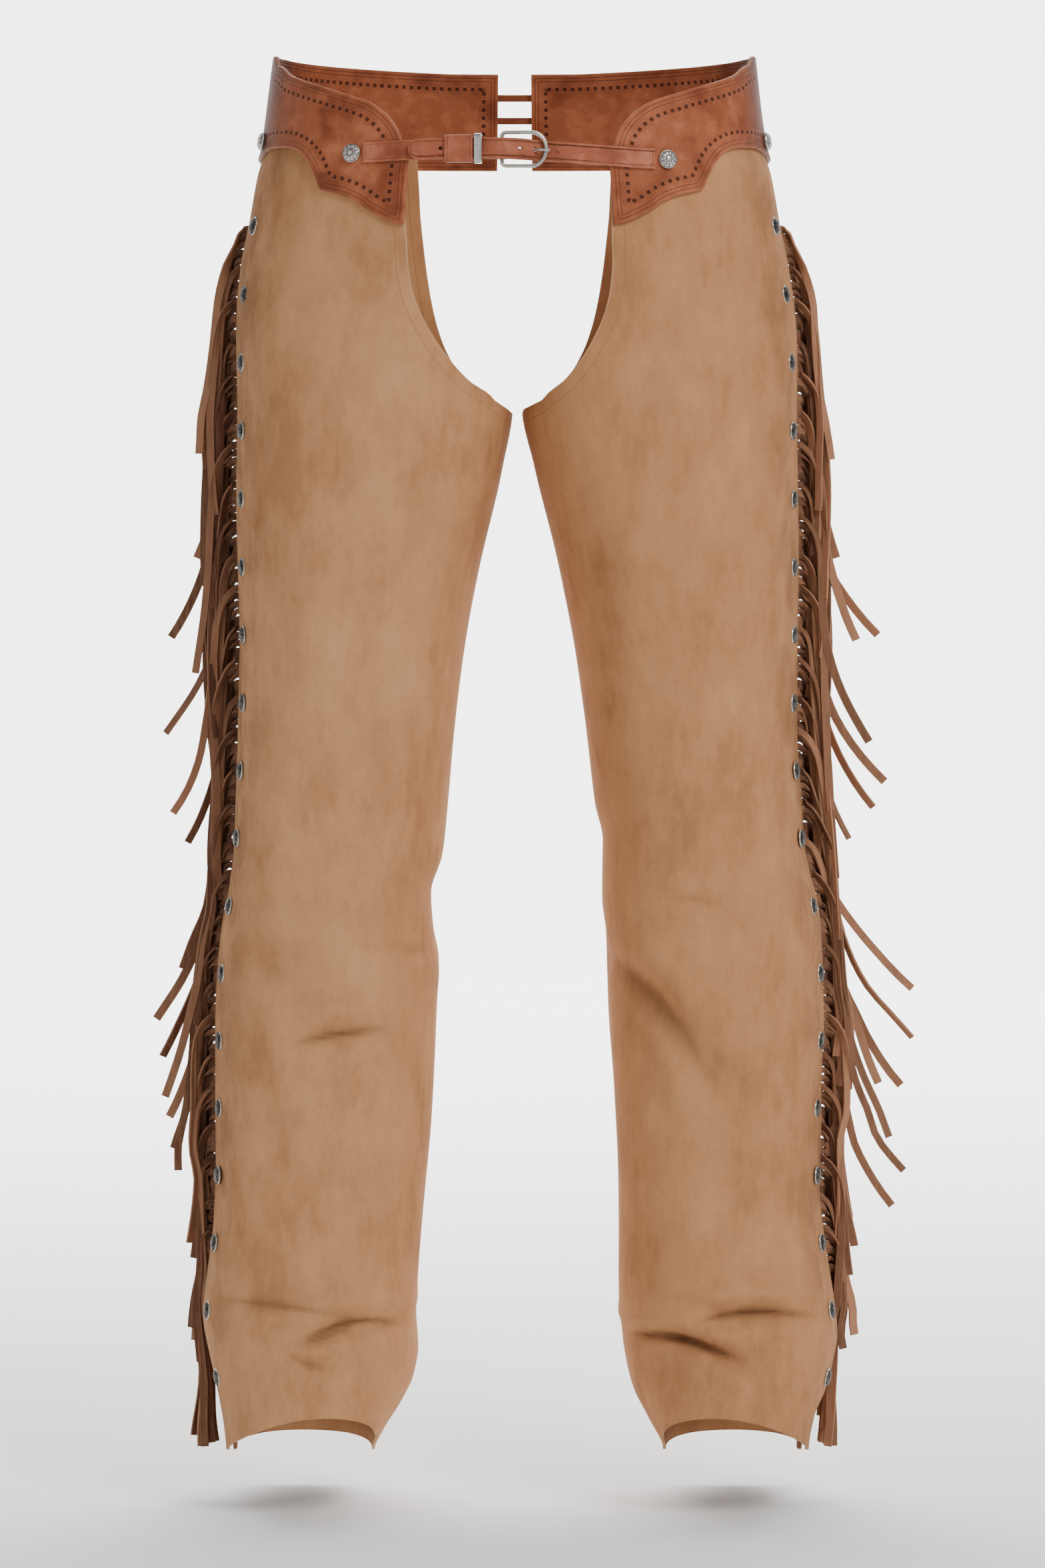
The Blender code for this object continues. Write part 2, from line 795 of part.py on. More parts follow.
def seam_point(side, around, z, out):
    """Point near the seam on the straight runs between the leg panel's own rows."""
    rows = seam_rows(side)
    i = next(k for k in range(len(rows) - 1) if rows[k + 1] <= z)
    share = (z - rows[i]) / (rows[i + 1] - rows[i])
    above = place(side, around, rows[i], out)
    return above.lerp(place(side, around, rows[i + 1], out), share)


def hang_line(side, z):
    """Outward x that the fringe hangs from: the leg's outline, evened out."""
    steps = [section(side, 0.5, max(z + step, ROOT_BOTTOM))[0] for step in (-40, -20, 0, 20, 40)]
    return sum(steps) / len(steps)


def strand_reach(depth):
    return ARCH * (1 - math.exp(-depth / ARCH_DROP)) + DRIFT * depth


def strand_rings(side, number, root, chance):
    """Four-cornered sections along one strand, from just outside its root to its tip."""
    length = min(STRAND_LENGTH * (1 + 0.07 * chance), root - TIP_FLOOR)
    lane = (number * LANE_STEP) % LANES
    lane_y = FIRST_LANE_Y + lane * LANE_PITCH
    share = FLARE_SHARES[number % len(FLARE_SHARES)]
    flare = FLARES.at("right" if side < 0 else "left", root - length) * share
    edge_here = section(side, 0.5, root)[0]

    def centre(depth):
        z = root - depth
        settle = ease(0, 40, depth)
        line = edge_here + (hang_line(side, z) - edge_here) * settle
        curl = max(depth - (length - FLARE_START), 0.0) / FLARE_START
        return line + strand_reach(depth) + flare * curl * curl, z

    rings = []
    depths = (1.8, SETTLED, MIDWAY * length, length)
    for depth in depths:
        x, z = centre(depth)
        ahead, below = centre(depth + 0.5), centre(max(depth - 0.5, 0.0))
        run = Vector((ahead[0] - below[0], 0.0, ahead[1] - below[1])).normalized()
        across = Vector((-run.z, 0.0, run.x)) * (STRAND_WIDTH / 2)
        middle = Vector((x, lane_y, z))
        deep = Vector((0.0, STRAND_THICKNESS / 2, 0.0))
        corners = (middle + across - deep, middle + across + deep,
                   middle - across + deep, middle - across - deep)
        rings.append([Vector((side * p.x, p.y, p.z)) for p in corners])
    return rings


def build_fringe(side, name, finish):
    """A narrow strip in the seam, with a strand grown from each cell of its outer edge."""
    chance = random.Random(11 + side)
    pitch = (ROOT_TOP - ROOT_BOTTOM) / STRANDS
    heights = [STRIP_TOP] + [ROOT_TOP - pitch * i for i in range(STRANDS + 1)]
    outer, inner = [], []
    for z in heights:
        out = -(SUEDE + SEAM_GAP)
        outer.append([seam_point(side, around, z, out) for around in STRIP_ROUNDS])
        inner.append([seam_point(side, around, z, out - SUEDE) for around in STRIP_ROUNDS])
    grown = {(i + 1, 1) for i in range(STRANDS)}
    mesh_data, top = wall(outer, inner, open_cells=grown)
    for i in range(STRANDS):
        root = ROOT_TOP - pitch * (i + 0.5)
        ring = [top[i + 1][1], top[i + 1][2], top[i + 2][2], top[i + 2][1]]
        for corners in strand_rings(side, i, root, chance.uniform(-1, 1)):
            following = [mesh_data.verts.new(corner) for corner in corners]
            for k in range(4):
                j = (k + 1) % 4
                mesh_data.faces.new((ring[k], ring[j], following[j], following[k]))
            ring = following
        mesh_data.faces.new(ring)
    return make_object(name, mesh_data, finish, sharp_angle=50)


# ----------------------------------------------------------------------- studs and conchos

STUD_PROFILE = ((STUD_RADIUS, 0.0), (STUD_RADIUS * 0.72, STUD_HEIGHT * 0.68), (0.0, STUD_HEIGHT))
CONCHO_PROFILE = (
    (CONCHO_RADIUS, 0.0),
    (CONCHO_RADIUS, CONCHO_HEIGHT * 0.2),
    (CONCHO_RADIUS * 0.72, CONCHO_HEIGHT * 0.75),
    (0.0, CONCHO_HEIGHT),
)


def build_stud(side, number, name, finish):
    z = STUD_TOP - STUD_PITCH * number
    centre = seam_point(side, STUD_ROUND, z, 2 * GAP + crease_depth(side, STUD_ROUND, z))
    up = seam_point(side, STUD_ROUND, z + 4, 0.0) - seam_point(side, STUD_ROUND, z - 4, 0.0)
    axis = outward(side, STUD_ROUND, z)
    axis -= up * axis.dot(up) / up.dot(up)
    mesh_data = turned(STUD_PROFILE, STUD_SIDES, centre, axis)
    return make_object(name, mesh_data, finish, sharp_angle=60)


def build_front_concho(side, name, finish):
    """The concho on the yoke's front, just past the end of the strap."""
    x = FRONT_CONCHO_X[side]
    z = STRAP_Z.at("z", x) - FRONT_CONCHO_DROP
    out = YOKE_OUT + YOKE_LEATHER + 2 * GAP
    centre = hip_point(x, z, out, 1)
    axis = hip_point(x, z, out + CONCHO_HEIGHT, 1) - centre
    mesh_data = turned(CONCHO_PROFILE, CONCHO_SIDES, centre, axis)
    return make_object(name, mesh_data, finish, sharp_angle=60)


def build_hip_concho(side, name, finish):
    out = YOKE_OUT + YOKE_LEATHER + 3 * GAP
    centre = place(side, HIP_CONCHO_ROUND, HIP_CONCHO_Z, out)
    axis = outward(side, HIP_CONCHO_ROUND, HIP_CONCHO_Z)
    mesh_data = turned(CONCHO_PROFILE, CONCHO_SIDES, centre, axis)
    return make_object(name, mesh_data, finish, sharp_angle=60)


# ------------------------------------------------------------------- front strap and buckle


def strap_point(x, across, out):
    return hip_point(x, STRAP_Z.at("z", x) + across, out, 1)


def build_strap(name, stations, thickness, slots, slot_half, finish):
    """Flat strap along (x, out, width) stations, with slots cut through its middle.

    A slot is named by the station that it starts from and runs to the next one.
    """
    outer, inner = [], []
    for i, (x, out, width) in enumerate(stations):
        before = stations[max(i - 1, 0)]
        after = stations[min(i + 1, len(stations) - 1)]
        run = Vector((after[0] - before[0], after[1] - before[1])).normalized()
        lift = Vector((-run.y, run.x)) * (thickness / 2)
        lines = (-width / 2, -slot_half, slot_half, width / 2)
        outer.append([strap_point(x + lift.x, across, out + lift.y) for across in lines])
        inner.append([strap_point(x - lift.x, across, out - lift.y) for across in lines])
    mesh_data, _ = wall(outer, inner, missing={(i, 1) for i in slots})
    return make_object(name, mesh_data, finish)


HOLE = 1.2              # half the width of an adjusting hole
HOLES_X = (-48.8, 3.8, 29.2)
TONGUE_HOLE_X = 14.2
TONGUE_HOLE = 2.6


def build_billet(finish):
    """The long strap: from the left yoke, under the buckle's toe, over its heel, to its tip."""
    marks = [94, 80, 66, 50, 40, 23, 9, -3, -8.4, -14, -24, -34, -42, -55, -62, -67, -69.4, -70.5]
    starts = []
    for x in HOLES_X:
        marks += [x + HOLE, x - HOLE]
        starts.append(x - HOLE)
    marks += [TONGUE_HOLE_X + TONGUE_HOLE, TONGUE_HOLE_X - TONGUE_HOLE]
    starts.append(TONGUE_HOLE_X - TONGUE_HOLE)
    marks.sort()
    stations = [(x, BILLET_OUT.at("out", x), BILLET_OUT.at("width", x)) for x in marks]
    slots = [marks.index(x) for x in starts]
    return build_strap("billet_strap", stations, BILLET_LEATHER, slots, HOLE, finish)


def build_chape(finish):
    """The short strap on the right yoke, folded round the buckle's heel bar."""
    stations = []
    for x in (-101, -88, -75, -62, -50, -40, -30, -22, -14):
        stations.append((x, CHAPE_OUT.at("out", x), CHAPE_WIDTH))
    first_slot = len(stations) - 1
    radius = WIRE + GAP + CHAPE_LEATHER / 2
    for degrees in (90, 60, 30, 0, -30, -60, -90):
        angle = math.radians(degrees)
        x = HEEL_X + radius * math.cos(angle)
        stations.append((x, HEEL_OUT + radius * math.sin(angle), CHAPE_WIDTH))
    last_slot = len(stations)
    for x in (-13, -19):
        stations.append((x, HEEL_OUT - radius, CHAPE_WIDTH))
    slots = range(first_slot, last_slot)
    return build_strap("chape_strap", stations, CHAPE_LEATHER, slots, TONGUE_SLOT, finish)


def build_frame(finish):
    """Wire frame: a straight heel bar, two straight sides and a rounded toe."""
    toe_start = 11.5
    toe_width = TOE_X - toe_start
    corners = [(HEEL_X, -0.55), (HEEL_X, 0.0), (HEEL_X, 0.55), (HEEL_X + 0.4, 0.88),
               (HEEL_X + 2.2, 1.0), (1.5, 1.0)]
    for i in range(9):
        angle = math.pi * (0.5 - i / 8)
        corners.append((toe_start + toe_width * math.cos(angle), math.sin(angle)))
    corners += [(1.5, -1.0), (HEEL_X + 2.2, -1.0), (HEEL_X + 0.4, -0.88)]
    path = []
    for x, height in corners:
        out = HEEL_OUT + (TOE_OUT - HEEL_OUT) * (x - HEEL_X) / (TOE_X - HEEL_X)
        path.append(hip_point(x, BUCKLE_Z + BUCKLE_HALF_HEIGHT * height, out, 1))
    return make_object("buckle_frame", swept(path, WIRE, 7, True), finish, sharp_angle=70)


def build_tongue(finish):
    """Tongue: hooked round the heel bar, up through the billet and on to the toe bar."""
    radius = WIRE + GAP + TONGUE_WIRE
    places = []
    for degrees in (-80, -130, -180, -230, -280):
        angle = math.radians(degrees)
        places.append((HEEL_X + radius * math.cos(angle), HEEL_OUT + radius * math.sin(angle)))
    places += [(-4.0, 7.0), (3.0, 5.0), (9.2, 3.9), (12.9, 4.8), (15.3, 8.4), (18.4, 10.6),
               (23.4, 10.6)]
    path = [strap_point(x, 0.0, out) for x, out in places]
    mesh_data = swept(path, TONGUE_WIRE, 6, False)
    return make_object("buckle_tongue", mesh_data, finish, sharp_angle=60)


def build_keeper(name, span, upper, half_height, thickness, finish):
    """Flat loop round both straps; upper is how far out its top lies at each of its edges."""
    grids = []
    for spread in (thickness, 0.0):
        grid = []
        for x, top in zip(span, upper):
            high, low = top + spread, KEEPER_LOW - spread
            reach = half_height + spread
            corners = [(-reach, low), (-reach, high), (reach, high), (reach, low)]
            grid.append([strap_point(x, across, out) for across, out in corners])
        grids.append(grid)
    mesh_data = bmesh.new()
    loops = [[mesh_data.verts.new(point) for point in ring]
             for ring in (grids[0][0], grids[0][1], grids[1][1], grids[1][0])]
    for a in range(4):
        for k in range(4):
            first, second = loops[a], loops[(a + 1) % 4]
            j = (k + 1) % 4
            mesh_data.faces.new((first[k], first[j], second[j], second[k]))
    return make_object(name, mesh_data, finish)


# ------------------------------------------------------------------------------- back lace

LACE_HALF = 2.5
LACE_HOLE_X = 19.0
LACE_ROWS_Z = (41.0, 25.0, 9.0)


def build_lace(finish):
    """One flat thong that runs to and fro across the gap between the yokes."""
    low_x, high_x = LACE_HOLE_X - LACE_HALF, LACE_HOLE_X + LACE_HALF
    xs = (-high_x, -low_x, 0.0, low_x, high_x)
    zs = []
    for middle in LACE_ROWS_Z:
        zs += [middle + LACE_HALF, middle - LACE_HALF]
    kept = {(row, column) for row in (0, 2, 4) for column in range(4)}
    kept |= {(1, 3), (3, 0)}
    missing = {(i, j) for i in range(5) for j in range(4)} - kept
    out = YOKE_OUT + YOKE_LEATHER + SEAM_GAP
    outer = [[hip_point(x, z, out + LACE_LEATHER, -1) for x in xs] for z in zs]
    inner = [[hip_point(x, z, out, -1) for x in xs] for z in zs]
    mesh_data, _ = wall(outer, inner, missing=missing)
    return make_object("back_lace", mesh_data, finish)


def main():
    start_clean()
    suede = material("suede", (0.47, 0.27, 0.145), 0.95)
    fringe_suede = material("fringe_suede", (0.27, 0.13, 0.065), 0.9)
    smooth_leather = material("smooth_leather", (0.32, 0.09, 0.035), 0.5)
    strap_leather = material("strap_leather", (0.36, 0.115, 0.055), 0.5)
    silver = material("silver", (0.55, 0.53, 0.49), 0.35, 1.0)

    for side, word in ((-1, "right"), (1, "left")):
        build_yoke(side, f"{word}_yoke", smooth_leather)
        build_leg(side, f"{word}_leg_panel", suede)
        build_fringe(side, f"{word}_fringe", fringe_suede)
        build_front_concho(side, f"{word}_front_concho", silver)
        build_hip_concho(side, f"{word}_hip_concho", silver)
        for number in range(STUDS):
            build_stud(side, number, f"{word}_stud_{number + 1:02d}", silver)

    build_chape(strap_leather)
    build_billet(strap_leather)
    build_frame(silver)
    build_tongue(silver)
    build_keeper("leather_keeper", (-46.0, -27.5), (9.4, 11.4), 7.6, 1.6, strap_leather)
    build_keeper("metal_keeper", (-26.6, -21.6), (11.6, 12.6), 8.6, 1.2, silver)
    build_lace(strap_leather)


main()
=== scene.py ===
# %% [markdown]
# # Fringed leather chaps
#
# A pair of western riding chaps in the hollow shape they keep when somebody wears them: two
# suede legs, a tooled yoke above each, a fringed and studded seam down each outside, a strap
# and buckle in front and a lace behind. The solids are loaded as a fixed frame, and the cells
# below make the visible pieces, each of which stands where its solid stands.
#
# Lengths are in millimetres until a mesh is made. The front faces -Y, +Z is up, and the
# wearer's right is at -X, where `side` is -1.

# %% Load the frame
import math

import bmesh
import bpy
import numpy as np
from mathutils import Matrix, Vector


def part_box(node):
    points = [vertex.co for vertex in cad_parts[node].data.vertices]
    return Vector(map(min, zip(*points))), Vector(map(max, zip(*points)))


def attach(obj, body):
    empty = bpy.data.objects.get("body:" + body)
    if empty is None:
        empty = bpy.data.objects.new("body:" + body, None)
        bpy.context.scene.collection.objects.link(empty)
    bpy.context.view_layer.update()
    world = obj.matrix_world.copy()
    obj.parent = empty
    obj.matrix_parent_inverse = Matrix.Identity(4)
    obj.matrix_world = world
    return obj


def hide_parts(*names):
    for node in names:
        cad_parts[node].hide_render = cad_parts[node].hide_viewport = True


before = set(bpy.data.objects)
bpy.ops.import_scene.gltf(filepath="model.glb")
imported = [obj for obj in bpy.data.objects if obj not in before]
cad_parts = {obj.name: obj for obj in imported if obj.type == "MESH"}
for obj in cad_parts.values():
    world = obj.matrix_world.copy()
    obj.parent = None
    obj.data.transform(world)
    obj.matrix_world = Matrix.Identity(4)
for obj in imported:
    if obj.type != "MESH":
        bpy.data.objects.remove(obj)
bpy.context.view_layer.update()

WORDS = {-1: "right", 1: "left"}        # of the wearer, by side

# %% [markdown]
# ## Camera
#
# The camera looks at the front from a little above the middle of the garment. It stands well
# back with a long lens, so that the waist and the hems keep their true widths beside each other.

# %% Camera
SIGHT = Vector((0.0056, 0.0, -0.441))
CAMERA_AT = Vector((0.0056, -4.5, -0.20))
LENS, SENSOR = 148.3, 36.0

camera_data = bpy.data.cameras.new("camera")
camera_data.sensor_fit = "VERTICAL"
camera_data.sensor_height = SENSOR
camera_data.lens = LENS
camera = bpy.data.objects.new("camera", camera_data)
bpy.context.scene.collection.objects.link(camera)
camera.location = CAMERA_AT
camera.rotation_euler = (SIGHT - CAMERA_AT).to_track_quat("-Z", "Y").to_euler()
bpy.context.scene.camera = camera
print("camera distance:", round((SIGHT - CAMERA_AT).length, 3))

# %% [markdown]
# ## Lights
#
# A large soft panel from the wearer's left and above is the main light, a weaker one fills from
# the other side, a strip behind separates the fringe from the backdrop, and a long panel
# overhead keeps the backdrop pale. Wide panels give the soft edges that shadows have in a
# studio. The world's own light fills what is left.

# %% Lights


def area_light(name, place, aim, size, watts, tint):
    data = bpy.data.lights.new(name, "AREA")
    data.shape = "RECTANGLE"
    data.size, data.size_y = size
    data.energy = watts
    data.color = tint
    light = bpy.data.objects.new(name, data)
    light.location = place
    light.rotation_euler = (Vector(aim) - Vector(place)).to_track_quat("-Z", "Y").to_euler()
    bpy.context.scene.collection.objects.link(light)


area_light("key", (1.9, -2.7, 2.3), (0, 0, -0.15), (1.6, 1.6), 112, (1.0, 0.985, 0.96))
area_light("fill", (-2.4, -2.8, 0.3), (0, 0, -0.45), (2.0, 2.4), 12, (0.96, 0.98, 1.0))
area_light("back", (0.3, 1.6, 1.7), (0, 0, -0.35), (2.4, 0.8), 16, (1.0, 1.0, 1.0))
area_light("sweep", (0.0, 2.9, 3.0), (0, 5.9, -0.7), (8.0, 1.6), 1300, (1.0, 1.0, 1.0))

world = bpy.data.worlds.new("studio")
world.use_nodes = True
world.node_tree.nodes["Background"].inputs["Color"].default_value = (0.96, 0.97, 1.0, 1)
world.node_tree.nodes["Background"].inputs["Strength"].default_value = 0.42
bpy.context.scene.world = world
print("lights:", [light.name for light in bpy.data.lights])

# %% [markdown]
# ## Floor
#
# The floor is one sheet that curves up into a wall a long way behind, as a studio backdrop does,
# so there is no horizon line. It reaches far enough to fill a raised view from any side.

# %% Floor
FLOOR_Z, FLOOR_REACH = -0.945, 11.0
BEND_START, BEND, WALL_TOP = 4.8, 1.6, 6.0
profile = [(-FLOOR_REACH, 0.0), (-4.0, 0.0), (0.0, 0.0), (BEND_START, 0.0)]
for angle in np.linspace(0.1, 1.57, 12):
    profile.append((BEND_START + BEND * math.sin(angle), BEND * (1 - math.cos(angle))))
profile.append((BEND_START + BEND, WALL_TOP))
floor_points = [(x, y, FLOOR_Z + z) for y, z in profile for x in (-FLOOR_REACH, FLOOR_REACH)]
floor_faces = [(2 * i, 2 * i + 1, 2 * i + 3, 2 * i + 2) for i in range(len(profile) - 1)]
floor_mesh = bpy.data.meshes.new("floor")
floor_mesh.from_pydata(floor_points, [], floor_faces)
floor_mesh.shade_smooth()
floor = bpy.data.objects.new("floor", floor_mesh)
bpy.context.scene.collection.objects.link(floor)
print("floor at", FLOOR_Z, "with", len(floor_faces), "faces")

# %% [markdown]
# ## One surface for all the cloth
#
# Every sewn piece is cut from one surface, the same one that the solids were made from. A
# place on it is a height `z` and a place `around`, from 0 at the inner thigh over the front to
# 0.5 at the outer seam and over the back to 1. `section` returns outward x and y there: the
# outline of the whole hip above the crotch, the outline of one leg below it, and a blend of
# both between. The tables say how wide and deep those outlines are at each height. A column
# of a `Table` is read between its rows by a smooth curve that never overshoots them.

# %% Tables of the cut
HIP_END, LEG_START = -70.0, -178.0      # heights between which the hip becomes a leg
SEAM_Y, ROUNDNESS = 4.0, 2.3


class Table:
    """Rows under named columns, read along the first one without overshoot."""

    def __init__(self, names, *rows):
        self.rows = np.array(sorted(rows), dtype=float)
        self.names = names.split()
        self.keys = self.rows[:, 0]

    def column(self, name):
        return self.rows[:, self.names.index(name)]

    def at(self, name, key):
        keys, values = self.keys, self.column(name)
        slope = np.diff(values) / np.diff(keys)
        before, after = slope[:-1], slope[1:]
        agree = before * after > 0
        total = np.where(agree, before + after, 1.0)
        bends = np.zeros(len(keys))
        bends[1:-1] = np.where(agree, 2 * before * after / total, 0.0)
        key = np.clip(key, keys[0], keys[-1])
        i = np.clip(np.searchsorted(keys, key, side="right") - 1, 0, len(keys) - 2)
        step = keys[i + 1] - keys[i]
        t = (key - keys[i]) / step
        smooth = values[i] + (values[i + 1] - values[i]) * t * t * (3 - 2 * t)
        return smooth + step * t * (1 - t) * ((1 - t) * bends[i] - t * bends[i + 1])


# Sections: half width and depths of the hip, then the four sides of each leg
HIP = Table(
    "z half_width front back",
    (85, 162, 98, 110),
    (57, 165, 102, 115),
    (0, 172.7, 107, 123),
    (-17, 178, 108, 126),
    (-52, 184.5, 108, 130),
    (-80, 190, 107, 130),
    (-127, 194, 105, 124),
    (-178, 195.5, 102, 112),
)

RIGHT_LEG = Table(
    "z outer inner front back",
    (-178, 193.5, 1.0, 100, 106),
    (-220, 193.4, 8.0, 99, 104),
    (-290, 192.6, 24.5, 95, 100),
    (-350, 191.6, 35.0, 91, 96),
    (-405, 192.5, 42.0, 88, 93),
    (-455, 195.0, 46.5, 86, 90),
    (-490, 196.5, 50.5, 85, 88),
    (-517, 200.5, 58.6, 85, 87),
    (-540, 204.5, 57.0, 84, 88),
    (-565, 206.8, 52.5, 83, 90),
    (-610, 209.0, 54.0, 81, 93),
    (-667, 209.2, 57.8, 80, 95),
    (-742, 211.0, 64.4, 80, 92),
    (-790, 216.0, 68.0, 82, 90),
    (-812, 217.8, 69.0, 84, 90),
    (-836, 214.0, 67.5, 87, 91),
    (-855, 210.0, 70.5, 90, 92),
    (-875, 206.0, 80.0, 93, 93),
    (-892, 203.4, 90.7, 95, 94),
    (-909, 202.0, 98.0, 96, 95),
)

LEFT_LEG = Table(
    "z outer inner front back",
    (-178, 197.0, 5.0, 100, 106),
    (-220, 197.6, 14.0, 99, 104),
    (-290, 197.8, 31.5, 95, 100),
    (-350, 197.0, 42.5, 91, 96),
    (-405, 196.8, 50.2, 88, 93),
    (-455, 200.5, 55.5, 86, 90),
    (-480, 202.0, 61.0, 85, 88),
    (-500, 205.5, 61.0, 85, 87),
    (-522, 211.3, 61.5, 84, 88),
    (-545, 214.6, 64.5, 83, 90),
    (-600, 217.0, 65.8, 81, 93),
    (-662, 213.8, 70.0, 80, 95),
    (-720, 213.4, 72.3, 80, 92),
    (-756, 217.0, 72.8, 81, 91),
    (-803, 224.2, 73.6, 82, 90),
    (-826, 226.4, 75.6, 84, 90),
    (-845, 223.3, 78.3, 88, 91),
    (-864, 218.4, 83.0, 91, 92),
    (-883, 210.3, 92.5, 94, 93),
    (-909, 206.0, 104.3, 96, 95),
)

print("rows of sections:", len(HIP.rows), len(RIGHT_LEG.rows), len(LEFT_LEG.rows))

# %% [markdown]
# The functions below read those tables for whole arrays of places at once. `place` moves a
# point out along the normal of the cloth, which is how one piece is laid on another.

# %% Functions of the surface


def ease(start, end, value):
    t = np.clip((value - start) / (end - start), 0.0, 1.0)
    return t * t * (3 - 2 * t)


def rounded(depth, share):
    return depth * np.maximum(1 - np.abs(share) ** ROUNDNESS, 0.0) ** (1 / ROUNDNESS)


def section(side, around, z):
    around = np.mod(around, 1.0)
    front = around < 0.5
    face = np.where(front, 1.0, -1.0)
    across = np.maximum(np.sin(np.pi * around), 0.0) ** (2 / ROUNDNESS)

    def depth(table):
        return np.where(front, table.at("front", z), table.at("back", z)) + face * SEAM_Y

    leg = RIGHT_LEG if side < 0 else LEFT_LEG
    hip_x = HIP.at("half_width", z) * across
    hip_y = SEAM_Y - face * rounded(depth(HIP), across)
    inner = leg.at("inner", z)
    leg_x = inner + (leg.at("outer", z) - inner) * across
    leg_y = SEAM_Y - face * rounded(depth(leg), 1 - 2 * across)
    share = ease(HIP_END, LEG_START, z)
    return hip_x + (leg_x - hip_x) * share, hip_y + (leg_y - hip_y) * share


def surface(side, around, z):
    around, z = np.broadcast_arrays(np.asarray(around, float), np.asarray(z, float))
    x, y = section(side, around, z)
    return np.stack([side * x, y, z], axis=-1)


def unit(vectors):
    return vectors / np.linalg.norm(vectors, axis=-1, keepdims=True)


def outward(side, around, z):
    around, z = np.asarray(around, float), np.asarray(z, float)
    along = surface(side, around + 0.004, z) - surface(side, around - 0.004, z)
    up = surface(side, around, z + 1.5) - surface(side, around, z - 1.5)
    return unit(np.cross(along, up) * side)


def place(side, around, z, out):
    return surface(side, around, z) + outward(side, around, z) * np.asarray(out)[..., None]


print("outer seam at the knee:", surface(1, 0.5, -560.0).round(1))

# %% [markdown]
# The functions so far go from a place round the body to a point. These go the other way, or
# start from a signed x: the front strap crosses from one side to the other, so it is laid on
# the whole hip at once.

# %% Places from measures
HALVINGS = 36


def round_at(side, x, z, face):
    """Place round where the cloth is x outwards, on the front (1) or the back (-1)."""
    x, z = np.broadcast_arrays(np.asarray(x, float), np.asarray(z, float))
    low, high = np.zeros(x.shape), np.full(x.shape, 0.5)
    for _ in range(HALVINGS):
        middle = (low + high) / 2
        short = section(side, middle if face > 0 else 1 - middle, z)[0] < x
        low, high = np.where(short, middle, low), np.where(short, high, middle)
    return low if face > 0 else 1 - low


def round_at_angle(turn):
    """Place round of a share of a full turn about the leg, from the inner thigh forward."""
    cosine = np.cos(2 * np.pi * np.asarray(turn, float))
    across = (1 - np.sign(cosine) * np.abs(cosine) ** (2 / ROUNDNESS)) / 2
    return np.arcsin(across ** (ROUNDNESS / 2)) / np.pi


def hip_point(x, z, out, face):
    """Point out from the hip's section at a signed x, on the front (1) or the back (-1)."""
    x, z, out = np.broadcast_arrays(*(np.asarray(v, float) for v in (x, z, out)))

    def on_hip(px, pz):
        depth = HIP.at("front", pz) + SEAM_Y if face > 0 else HIP.at("back", pz) - SEAM_Y
        reach = 1 - (np.abs(px) / HIP.at("half_width", pz)) ** ROUNDNESS
        return np.stack([px, SEAM_Y - face * depth * reach ** (1 / ROUNDNESS), pz], axis=-1)

    across = on_hip(x + 1, z) - on_hip(x - 1, z)
    up = on_hip(x, z + 1) - on_hip(x, z - 1)
    return on_hip(x, z) + unit(np.cross(across, up)) * face * out[..., None]


print("on the front of the hip:", hip_point(60.0, -9.0, 0.0, 1).round(1))
